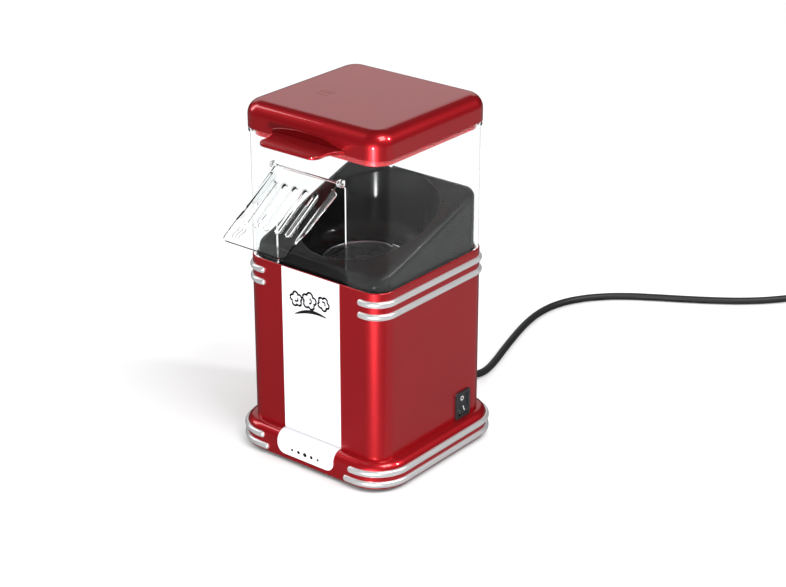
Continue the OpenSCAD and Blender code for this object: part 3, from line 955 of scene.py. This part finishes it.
def strip_path(width, depth, corner, start, end, passed):
    """Places along a rounded rectangle, counter-clockwise, between two points.

    start and end are (x, side), with side -1 for the front and 1 for the back. passed counts
    the corners on the way, from 0 at the front right."""
    points = [(start[0], start[1] * depth / 2)]
    for sx, sy, first in STRIP_CORNERS[passed]:
        centre = (sx * (width / 2 - corner), sy * (depth / 2 - corner))
        points += arc(centre, corner, first, first + 90, 14)
    return points + [(end[0], end[1] * depth / 2)]


class POPPER_OT_strips(bpy.types.Operator):
    """Models the bright strips round the housing and the plinth"""
    bl_idname = "popper.strips"
    bl_label = "Bright strips"

    def execute(self, context):
        sizes = context.scene.popper_housing
        self.section = self.half_round("strip_section")
        for name in ("body_trim_upper", "body_trim_lower"):
            self.strip(name, sizes.corner / MM, "body_shell", 49)
        for name, gap in (("plinth_trim_upper", 45.6), ("plinth_trim_lower", 40.8)):
            self.strip(name, sizes.plinth_corner / MM, "plinth", gap)
        bpy.data.objects.remove(self.section)
        return {"FINISHED"}

    def half_round(self, name):
        """The strips' section: flat behind and round in front, as wide as the strip is high."""
        low, high = box_mm("body_trim_upper")
        tall = (high.z - low.z) / 2
        proud = high.x - box_mm("body_shell")[1].x
        outline = [(proud * math.cos(math.radians(a)), tall * math.sin(math.radians(a)))
                   for a in range(-90, 91, 15)]
        outline = [(-0.5, -tall)] + outline + [(-0.5, tall)]
        deselect()
        bpy.ops.curve.primitive_nurbs_path_add()
        section = named(bpy.context.object, name)
        section.location = (0, 0, 0)
        section.data.splines.clear()
        section.data.dimensions = "2D"
        line = section.data.splines.new("POLY")
        line.points.add(len(outline) - 1)
        for knot, (x, y) in zip(line.points, outline):
            knot.co = (x * MM, y * MM, 0, 1)
        line.use_cyclic_u = True
        return section

    def strip(self, node, corner, wall_node, gap):
        """One strip round the housing, or two halves of one round the plinth."""
        low, high = box_mm(node)
        wall_low, wall_high = box_mm(wall_node)
        width, depth = wall_high.x - wall_low.x, wall_high.y - wall_low.y
        level = (low.z + high.z) / 2
        ways = [((gap, -1), (-gap, -1), slice(4))]
        if wall_node == "plinth":
            ways = [((gap, -1), (gap, 1), slice(2)), ((-gap, 1), (-gap, -1), slice(2, 4))]
        parts = []
        for way in ways:
            path = strip_path(width, depth, corner, *way)
            points, shares = self.tapered(path, (high.z - low.z) / 2)
            parts.append(drawn_line(node + "_part", [mm(x, y, level) for x, y in points],
                                    sizes=shares, profile=self.section))
        piece = joined(node + "_strip", parts)
        smooth(piece, 60)
        settle(piece, "base", "satin_trim", node)

    def tapered(self, path, radius):
        """The path with more points at both straight ends, and the section's size at each point."""
        def towards(a, b, far):
            return tuple(p + (q - p) * far / math.dist(a, b) for p, q in zip(a, b))
        steps = [0.02, 0.12, 0.3, 0.55, 0.8, 1]
        shares = [math.sqrt(1 - (1 - step) ** 2) for step in steps]
        first = [towards(path[0], path[1], step * radius) for step in steps]
        last = [towards(path[-1], path[-2], step * radius) for step in reversed(steps)]
        middle = path[1:-1]
        return first + middle + last, shares + [1] * len(middle) + shares[::-1]


class POPPER_OT_panel(bpy.types.Operator):
    """Models the white front panel, its printed ornament and the badge below it"""
    bl_idname = "popper.front_panel"
    bl_label = "Front panel"

    def execute(self, context):
        low, high = box_mm("front_stripe")
        panel = block("front_panel", low, high)
        soften(panel, 0.3 * MM, 3)
        smooth(panel)
        settle(panel, "base", "white_plastic", "front_stripe")
        self.badge(context.scene.popper_housing.shoulder / MM)
        self.ornament(low)
        return {"FINISHED"}

    def badge(self, shoulder):
        """A plate up the plinth's front and back over its shoulder."""
        low, high = box_mm("badge_plate")
        face = box_mm("plinth")[0].y
        hinge = (face + shoulder, box_mm("body_shell")[0].z - shoulder)
        badge = block("badge_cover", (low.x, low.y, low.z), (high.x, face - 0.05, hinge[1]))
        edit(badge)
        pick(badge, "FACE", facing(2))
        bpy.ops.mesh.spin(steps=12, angle=math.pi / 2, center=mm(0, *hinge), axis=(1, 0, 0))
        pick(badge, "FACE", both(facing(1), lambda face: face.calc_center_median().z
                                 > (hinge[1] + 4) * MM))
        pull(y=high.y - hinge[0])
        deselect()
        mend(badge)
        round_edges(badge, both(along(1), at_level(2, low.z * MM)), 8 * MM, 10)
        soften(badge, 0.4 * MM, 3, 60)
        smooth(badge)
        settle(badge, "base", "white_plastic", "badge_plate")

    def ornament(self, panel_low):
        """Three popped kernels over a sweeping line, printed in black."""
        front = panel_low.y - 0.02
        parts = [self.kernel(x, z, size, turn, front) for x, z, size, turn in
                 ((-15, 147, 6.4, 0.3), (-1, 149, 7.4, 1.1), (14, 150.5, 6.0, 2.0))]
        shares = [i / 24 for i in range(25)]
        sweep = [mm(-17 + 34 * t, front, 133.5 + 5.5 * t + 3.4 * math.sin(math.pi * t))
                 for t in shares]
        thick = [0.25 + 1.0 * math.sin(math.pi * t) ** 0.8 for t in shares]
        line = drawn_line("sweep", sweep, 1.3 * MM, thick)
        self.flatten(line, front, 0.03)
        parts += [self.dot(7 * i, 13.5, 1.9 - 0.35 * abs(i)) for i in range(-2, 3)]
        piece = joined("panel_ornament", parts + [line])
        smooth(piece)
        settle(piece, "base", "gloss_black")

    def flatten(self, line, front, share):
        """Presses a line flat against the panel."""
        edit(line)
        bpy.ops.mesh.select_all(action="SELECT")
        stretch((1, share, 1), (0, front, 0))
        deselect()

    def dot(self, x, z, radius):
        """A printed dot on the badge."""
        dot = turned("dot", (0, 0, 0), [(radius, -0.02), (radius, 0.03)], 32)
        cap_ends(dot)
        turn_to(dot, (x, box_mm("badge_plate")[0].y, z), (math.pi / 2, 0, 0))
        return dot

    def kernel(self, x, z, size, turn, front):
        """The outline of one popped kernel: lobes of uneven size round a small heart."""
        ring = []
        for i in range(72):
            a = math.radians(5 * i)
            lobes = abs(math.sin(2.5 * a + turn)) ** 0.7
            ring.append((a, size * (0.66 + 0.34 * lobes)))
        points = [mm(x + r * math.cos(a), front, z + r * math.sin(a)) for a, r in ring]
        outline = drawn_line("kernel_outline", points, 0.95 * MM, closed=True)
        heart = [mm(x + 0.3 * size * math.cos(a), front, z + 0.3 * size * math.sin(a))
                 for a in [math.radians(200 + 20 * i + 57 * turn) for i in range(10)]]
        inner = drawn_line("kernel_heart", heart, 0.8 * MM)
        for part in (outline, inner):
            self.flatten(part, front, 0.04)
        return joined("kernel", [outline, inner])


ROCKER_HALF = 8.4       # from the rocker's pivot to its end
ROCKER_DIP = 1.6        # how far the rocker's face sinks at its middle


class POPPER_OT_switch(bpy.types.Operator):
    """Models the switch: its bezel and case, the rocker and the marks on it"""
    bl_idname = "popper.switch"
    bl_label = "Switch"

    def execute(self, context):
        low, high = box_mm("switch_case")
        wall = box_mm("body_shell")[1].x
        middle = middle_mm("switch_case")
        bezel = block("switch_bezel", (wall, low.y, low.z), high)
        round_edges(bezel, along(0), 1.6 * MM, 5)
        edit(bezel)
        pick(bezel, "FACE", facing(0))
        bpy.ops.mesh.inset(thickness=0.5 * MM)
        bpy.ops.mesh.inset(thickness=1.9 * MM, depth=0)
        pull(x=-0.8)
        bpy.ops.mesh.inset(thickness=0.2 * MM)
        pull(x=-4)
        deselect()
        case = block("switch_body", (low.x, middle.y - 7.6, middle.z - 10.6),
                     (wall - 8, middle.y + 7.6, middle.z + 10.6))
        soften(bezel, 0.25 * MM, 2)
        soften(case, 0.5 * MM, 2)
        piece = joined("switch_frame", [bezel, case])
        smooth(piece)
        settle(piece, "base", "rocker_plastic", "switch_case")

        joint, pivot = joint_mm("power_rocker")
        tilt = -math.radians(joint["range_deg"][1] / 2)
        for part, *looks in ((self.rocker(), "rocker_plastic", "switch_rocker"),
                             (self.marks(), "white_plastic")):
            turn_to(part, pivot, (0, tilt, 0))
            settle(part, "rocker", *looks)
        return {"FINISHED"}

    def rocker(self):
        """The rocker about its pivot: a shallow V with rounded ends."""
        piece = block("rocker_key", (-4, -6.3, -ROCKER_HALF), (4, 6.3, ROCKER_HALF))
        edit(piece)
        bpy.ops.mesh.select_all(action="SELECT")
        bpy.ops.mesh.bisect(plane_co=mm(0, 0, 0), plane_no=(0, 0, 1))
        pick(piece, "VERT", lambda v: near(v.co.z, 0) and v.co.x > 0)
        bpy.ops.transform.translate(value=(-ROCKER_DIP * MM, 0, 0))
        pick(piece, "VERT", lambda v: abs(v.co.z) > 8 * MM and v.co.x < 0)
        stretch((1, 1, 0.5))
        deselect()
        soften(piece, 0.6 * MM, 3, 12)
        smooth(piece, 35)
        return piece

    def marks(self):
        """A ring on the upper half and a bar on the lower, laid on the sloping faces."""
        slope = math.atan2(ROCKER_DIP, ROCKER_HALF)
        profile = [(2.0, 0), (2.0, 0.12), (1.35, 0.12), (1.35, 0), (2.0, 0)]
        ring = turned("ring", (0, 0, 0), profile, 32)
        mend(ring)
        turn_to(ring, (3.18, 0, 4.4), (0, math.pi / 2 + slope, 0))
        bar = block("bar", (-1.9, -0.34, 0), (1.9, 0.34, 0.12))
        turn_to(bar, (3.18, 0, -4.4), (0, math.pi / 2 - slope, 0))
        piece = joined("rocker_marks", [ring, bar])
        smooth(piece)
        return piece


# ---- Bowl and pot ----

class POPPER_OT_deck(bpy.types.Operator):
    """Models the black deck and the bowl that runs down to the pot"""
    bl_idname = "popper.deck"
    bl_label = "Bowl and deck"

    def execute(self, context):
        sizes = context.scene.popper_housing
        wall = sizes.wall / MM
        foot = box_mm("bowl_deck")[0].z
        ledge = foot + LEDGE_RISE
        deck = self.body(sizes, "bowl_and_deck", 0, ledge)
        carve(deck, self.body(sizes, "deck_room", wall, ledge - 4))
        funnel = self.bowl("bowl_wall", wall, foot, -75)
        carve(funnel, self.body(sizes, "deck_bound", 0.02, foot - 3), "INTERSECT")
        carve(deck, funnel, "UNION")
        carve(deck, self.bowl("bowl_room", 0, foot - 2, -90))
        mend(deck)
        slope = math.tan(sizes.deck_tilt)

        def on_lip(edge):
            if len(edge.link_faces) != 2 or edge.calc_face_angle(0) < 0.5:
                return False
            return all(near(v.co.z, DECK_Z * MM + slope * (v.co.y - AXIS_Y), 1e-4)
                       for v in edge.verts)

        round_edges(deck, on_lip, 1.6 * MM, 5)
        smooth(deck, 38)
        settle(deck, "base", "gloss_black", "bowl_deck")
        return {"FINISHED"}

    def body(self, sizes, name, inset, low):
        """The block under the sloping top, drawn in all round."""
        wide, deep = DECK_SIZE
        piece = pillar(name, wide - 2 * inset, deep - 2 * inset, sizes.deck_corner / MM - inset,
                       low, DECK_Z + 40, segments=12)
        tilt = sizes.deck_tilt
        normal = Vector((0, -math.sin(tilt), math.cos(tilt)))
        point = mm(0, 0, DECK_Z) - normal * inset * MM
        edit(piece)
        bpy.ops.mesh.select_all(action="SELECT")
        bpy.ops.mesh.bisect(plane_co=point, plane_no=normal, use_fill=True, clear_outer=True)
        deselect()
        round_edges(piece, lambda edge: all(abs((v.co - point).dot(normal)) < TOUCH
                                            for v in edge.verts),
                    sizes.deck_edge - inset * MM, 8)
        return piece

    def bowl(self, name, grow, foot, first):
        """A solid of the bowl's inside, or of its outside when it is grown by the wall."""
        throat = THROAT_RADIUS + grow
        profile = [(throat, foot)]
        profile += arc((THROAT_RADIUS, FLOOR_Z + FLOOR_RADIUS), FLOOR_RADIUS + grow, first, 0, 10)
        profile += [(THROAT_RADIUS + FLOOR_RADIUS + grow + 7, DECK_Z + 30)]
        if math.dist(profile[0], profile[1]) < 0.01:
            profile.pop(0)
        piece = turned(name, (0, 0, 0), profile, 128)
        cap_ends(piece)
        return piece


# The deck's plane crosses the machine's axis at DECK_Z. The bowl's floor is an arc over the pot's
# rim, from the throat's radius out.
DECK_Z = 202
DECK_SIZE = (134.4, 131)
THROAT_RADIUS = 38
FLOOR_RADIUS = 16
FLOOR_Z = box_mm("popping_pot")[1].z
POT_SLOTS = 16


class POPPER_OT_pot(bpy.types.Operator):
    """Models the spun pot with its rolled rim and slanted air slots"""
    bl_idname = "popper.pot"
    bl_label = "Pot"

    def execute(self, context):
        low, high = box_mm("popping_pot")
        outer = high.x - 0.9
        inner = outer - 0.8
        profile = [(1.0, low.z)] + arc((outer - 3, low.z + 3), 3, -90, 0, 6)
        profile += [(outer, high.z - 2.2)]
        profile += arc((outer - 0.05, high.z - 1.0), 0.95, -50, 160, 10)
        profile += arc((inner - 2.4, low.z + 3.2), 2.4, 0, -90, 6) + [(1.0, low.z + 0.8)]
        pot = turned("spun_pot", (0, 0, 0), profile, 128)
        cap_ends(pot)
        slots = []
        for i in range(POT_SLOTS):
            slot = block("slot", (-5, -0.9, -7.5), (5, 0.9, 7.5))
            round_edges(slot, along(0), 0.85 * MM, 3)
            angle = 2 * math.pi * i / POT_SLOTS
            turn_to(slot, (0, 0, 0), (math.radians(25), 0, 0))
            place = ((outer - 4) * math.cos(angle), (outer - 4) * math.sin(angle), low.z + 11)
            turn_to(slot, place, (0, 0, angle))
            slots.append(slot)
        carve(pot, joined("slots", slots))
        smooth(pot, 35)
        settle(pot, "base", "aluminium", "popping_pot")
        return {"FINISHED"}


# ---- Chamber, flap and lid ----

class POPPER_OT_chamber(bpy.types.Operator):
    """Models the clear chamber with its rim, front opening and hinge ears"""
    bl_idname = "popper.chamber"
    bl_label = "Chamber"

    def execute(self, context):
        sizes = context.scene.popper_chamber
        corner = context.scene.popper_housing.corner / MM
        low, high = box_mm("clear_chamber")
        rim_low, rim_high = high.z - 4, high.z
        step = 0.4
        outer_w, outer_d = high.x - low.x, 2 * high.y
        width, depth = outer_w - 2, outer_d - 2
        chamber = pillar("chamber_wall", width, depth, corner - 1, low.z, rim_low, segments=16)
        delete_faces(chamber, across(2))
        edit(chamber)
        pick(chamber, "EDGE", at_level(2, rim_low * MM))
        pull(z=step, kind="edges")
        stretch((outer_w / width, outer_d / depth, 1))
        pull(z=rim_high - rim_low - step, kind="edges")
        deselect()
        hollow(chamber, sizes.clear_wall)
        mouth = block("mouth", (-MOUTH_HALF, -depth / 2 - 6, low.z - 5),
                      (MOUTH_HALF, -depth / 2 + 8, MOUTH_TOP))
        round_edges(mouth, both(along(1), at_level(2, MOUTH_TOP * MM)), 2.5 * MM, 5)
        carve(chamber, mouth)
        hinge = joint_mm("flap_hinge")[1]
        for side in (-1, 1):
            carve(chamber, self.ear(side * EAR_X, hinge, -depth / 2 + 0.6), "UNION")
        soften(chamber, 0.25 * MM, 2, 60)
        smooth(chamber, 40)
        settle(chamber, "cover", "clear_plastic", "clear_chamber")
        return {"FINISHED"}

    def ear(self, x, hinge, wall):
        """A lug with a round end, bored for the flap's pin."""
        half = EAR_THICK / 2
        ear = block("ear", (x - half, hinge.y - EAR_R, hinge.z - EAR_R),
                    (x + half, wall, hinge.z + EAR_R))
        round_edges(ear, both(along(0), lambda edge: edge.verts[0].co.y - AXIS_Y < hinge.y * MM),
                    (EAR_R - 0.02) * MM, 8)
        bore = turned("bore", (0, 0, 0), [(1.6, -4), (1.6, 4)], 24)
        cap_ends(bore)
        turn_to(bore, (x, hinge.y, hinge.z), (0, math.pi / 2, 0))
        carve(ear, bore)
        return ear


MOUTH_HALF = 36         # half the front opening's width
MOUTH_TOP = 255
EAR_X = 34.4
EAR_THICK = 4
EAR_R = 2.7


class POPPER_OT_flap(bpy.types.Operator):
    """Models the clear flap with its rimmed slots, side flanges and moulded steam waves"""
    bl_idname = "popper.flap"
    bl_label = "Flap"

    def execute(self, context):
        sizes = context.scene.popper_chamber
        hinge = joint_mm("flap_hinge")[1]
        low, high = box_mm("flap")
        pin_reach = (high.x - low.x) / 2
        half = pin_reach - EAR_THICK
        plate = block("flap_plate", (-half, -1, -FLAP_LENGTH), (half, 1, 0))
        round_edges(plate, both(along(1), at_level(2, -FLAP_LENGTH * MM)), 4 * MM, 8)
        carve(plate, self.row_of_slots(sizes, SLOT_RIM, -1.7, 0.4), "UNION")
        carve(plate, self.row_of_slots(sizes, 0, -6, 6))
        for side in (-1, 1):
            carve(plate, self.flange(side * (half - 1)), "UNION")
        right = [(1.2, half - 1), (1.5, half - 0.6), (1.5, pin_reach - 0.6), (0.9, pin_reach)]
        left = [(radius, -place) for radius, place in reversed(right)]
        rod = turned("rod", (0, 0, 0), left + right, 24)
        cap_ends(rod)
        turn_to(rod, (0, 0, 0), (0, math.pi / 2, 0))
        carve(plate, rod, "UNION")
        soften(plate, 0.3 * MM, 2, 60)
        waves = steam(0.45, lambda i, t: (-24 + 3.4 * i + 0.9 * math.sin(math.pi * t / 6), -1.0,
                                          -61.5 - 0.9 * t))
        flap = joined("flap_clear", [plate, *waves])
        turn_to(flap, hinge, (-sizes.flap_open, 0, 0))
        smooth(flap, 40)
        settle(flap, "flap", "clear_plastic", "flap", finish="flap_clear")
        return {"FINISHED"}

    def row_of_slots(self, sizes, rim, front, back):
        """Long round-ended bars side by side, as cutters or as rims."""
        width = sizes.slot_width / MM + 2 * rim
        bars = []
        for i in range(sizes.slots):
            x = (i - (sizes.slots - 1) / 2) * SLOT_PITCH
            bar = block("bar", (x - width / 2, front, SLOT_ENDS[0] - rim),
                        (x + width / 2, back, SLOT_ENDS[1] + rim))
            round_edges(bar, along(1), (width / 2 - 0.01) * MM, 8)
            bars.append(bar)
        return joined("slots", bars)

    def flange(self, x):
        """A side wall on the inner face, which tapers towards its foot."""
        wall = block("flange", (x - 1, 0.5, -62), (x + 1, 7.5, -6))
        edit(wall)
        pick(wall, "VERT", lambda v: v.co.y - AXIS_Y > 5 * MM and v.co.z < -40 * MM)
        bpy.ops.transform.translate(value=(0, -3.5 * MM, 14 * MM))
        deselect()
        round_edges(wall, lambda edge: along(0)(edge) and edge.verts[0].co.y - AXIS_Y > 3 * MM,
                    2 * MM, 4)
        return wall


FLAP_LENGTH = 76.9
SLOT_PITCH = 10.7
SLOT_RIM = 1.0
SLOT_ENDS = (-57.9, -14.6)


RELIEF = 0.15           # room over the lid's top for the raised waves
RIM_STEP = 0.3
COLLAR = (136.4, 132.9)  # outer width and depth of the collar inside the chamber
TAB_ROOT = 38           # half the tab's width at the lid
TAB_HALF = 30           # half its width further out


class POPPER_OT_lid(bpy.types.Operator):
    """Models the lid with its collar and tab"""
    bl_idname = "popper.lid"
    bl_label = "Lid"

    def execute(self, context):
        sizes = context.scene.popper_chamber
        wall = context.scene.popper_housing.wall
        corner = context.scene.popper_housing.corner / MM + 0.6
        low, high = box_mm("lid")
        foot = box_mm("clear_chamber")[1].z
        width, depth = high.x - low.x, 2 * high.y
        top = high.z - RELIEF
        lid = pillar("lid_shell", width, depth, corner, foot, top, segments=18)
        round_edges(lid, at_level(2, top * MM), sizes.lid_edge, 10)
        delete_faces(lid, at_level(2, foot * MM))
        # The skin turns in under the rim and down into the collar
        edit(lid)
        pick(lid, "EDGE", at_level(2, foot * MM))
        pull(z=RIM_STEP, kind="edges")
        stretch((COLLAR[0] / width, COLLAR[1] / depth, 1))
        pull(z=low.z - foot - RIM_STEP, kind="edges")
        deselect()
        hollow(lid, wall)
        tab = self.tab(low, foot, depth)
        waves = steam(0.55, lambda i, t: (-29 + 4.6 * (i - 1) + 1.1 * math.sin(math.pi * t / 4),
                                          -21 + t, top - 0.42))
        lid = joined("lid_shell", [lid, tab, self.scoop(foot, depth), *waves])
        smooth(lid)
        settle(lid, "lid", "red_plastic", "lid")
        return {"FINISHED"}

    def scoop(self, foot, depth):
        """A thin arched rib on the front face over the tab."""
        points = [mm(37 * math.cos(a), -depth / 2, foot + 3 + 6.5 * math.sin(a))
                  for a in [math.radians(10 * i) for i in range(19)]]
        return drawn_line("scoop_rib", points, 0.55 * MM)

    def tab(self, low, foot, depth):
        """The tab over the flap: flared at its root, with round corners and soft edges."""
        root = -depth / 2 + 1.6
        tab = block("lid_tab", (-TAB_ROOT, root - 1, foot + 0.2), (TAB_ROOT, root, foot + 3.2))
        edit(tab)
        for step, share in ((8.5, TAB_HALF / TAB_ROOT), (root - 9.5 - low.y, 1)):
            pick(tab, "FACE", facing(1, -1))
            pull(y=-step)
            stretch((share, 1, 1))
        deselect()
        front = low.y * MM + AXIS_Y
        round_edges(tab, both(along(2), lambda edge: near(edge.verts[0].co.y, front)), 8 * MM, 10)
        round_edges(tab, both(along(2), lambda edge: near(abs(edge.verts[0].co.x), TAB_HALF * MM)
                              and edge.verts[0].co.y - AXIS_Y > (root - 14) * MM), 6 * MM, 6)
        soften(tab, 1.2 * MM, 4, 60)
        return tab


# ---- Inner pieces ----

INNER = {
    "bottom_plate": "black_plastic", "base_screws": "zinc_steel", "body_screws": "zinc_steel",
    "heater_can": "zinc_steel", "mica_frame": "mica", "heating_coil": "nichrome",
    "thermostat": "zinc_steel", "thermal_fuse": "white_plastic", "fan_housing": "black_plastic",
    "fan_screws": "zinc_steel", "fan_wheel": "fan_plastic", "motor_shaft": "bright_steel",
    "armature": "copper_winding", "motor_can": "bright_steel", "motor_magnets": "ferrite",
    "motor_end_cap": "black_plastic", "motor_bushes": "bronze", "motor_screws": "zinc_steel",
    "rectifier_board": "circuit_board", "rectifier_diodes": "black_plastic",
    "switch_terminals": "bronze", "lead_clamp": "black_plastic", "clamp_screws": "zinc_steel",
    "terminal_block": "nylon", "wiring": "lead_rubber"}


class POPPER_OT_inner(bpy.types.Operator):
    """Gives the motor, fan, heater and other inner pieces their finishes"""
    bl_idname = "popper.inner"
    bl_label = "Inner pieces"

    def execute(self, context):
        for node, slot in INNER.items():
            for holder in frame["nodes"][node].material_slots:
                holder.material = finishes[slot]
        return {"FINISHED"}


class POPPER_OT_finishes(bpy.types.Operator):
    """Makes every finish from the chosen colours"""
    bl_idname = "popper.finishes"
    bl_label = "Finishes"

    def execute(self, context):
        make_finishes(context.scene.popper_colours)
        return {"FINISHED"}


class POPPER_PT_panel(bpy.types.Panel):
    """Lists the popcorn maker's pieces and sizes"""
    bl_label = "Popcorn maker"
    bl_idname = "POPPER_PT_panel"
    bl_space_type = "VIEW_3D"
    bl_region_type = "UI"
    bl_category = "Popcorn"

    def draw(self, context):
        layout = self.layout
        for name in GROUPS:
            group = getattr(context.scene, name)
            box = layout.box()
            for prop in group.__annotations__:
                box.prop(group, prop)
        for operator in PIECES:
            layout.operator(operator.bl_idname)


GROUPS = {"popper_colours": PopperColours, "popper_housing": PopperHousing,
          "popper_chamber": PopperChamber, "popper_lead": PopperLead, "popper_stage": PopperStage}
PIECES = (POPPER_OT_finishes, POPPER_OT_stage, POPPER_OT_lead, POPPER_OT_plinth,
          POPPER_OT_housing, POPPER_OT_strips, POPPER_OT_panel, POPPER_OT_switch,
          POPPER_OT_deck, POPPER_OT_pot, POPPER_OT_chamber, POPPER_OT_flap, POPPER_OT_lid,
          POPPER_OT_inner)


def register():
    for kind in (*GROUPS.values(), *PIECES, POPPER_PT_panel):
        bpy.utils.register_class(kind)
    for name, group in GROUPS.items():
        setattr(bpy.types.Scene, name, PointerProperty(type=group))


def unregister():
    for name in GROUPS:
        delattr(bpy.types.Scene, name)
    for kind in (POPPER_PT_panel, *reversed(PIECES), *GROUPS.values()):
        bpy.utils.unregister_class(kind)


def main():
    """Builds every piece."""
    register()
    for operator in PIECES:
        group, action = operator.bl_idname.split(".")
        getattr(getattr(bpy.ops, group), action)()
    deselect()


if __name__ == "__main__":
    main()
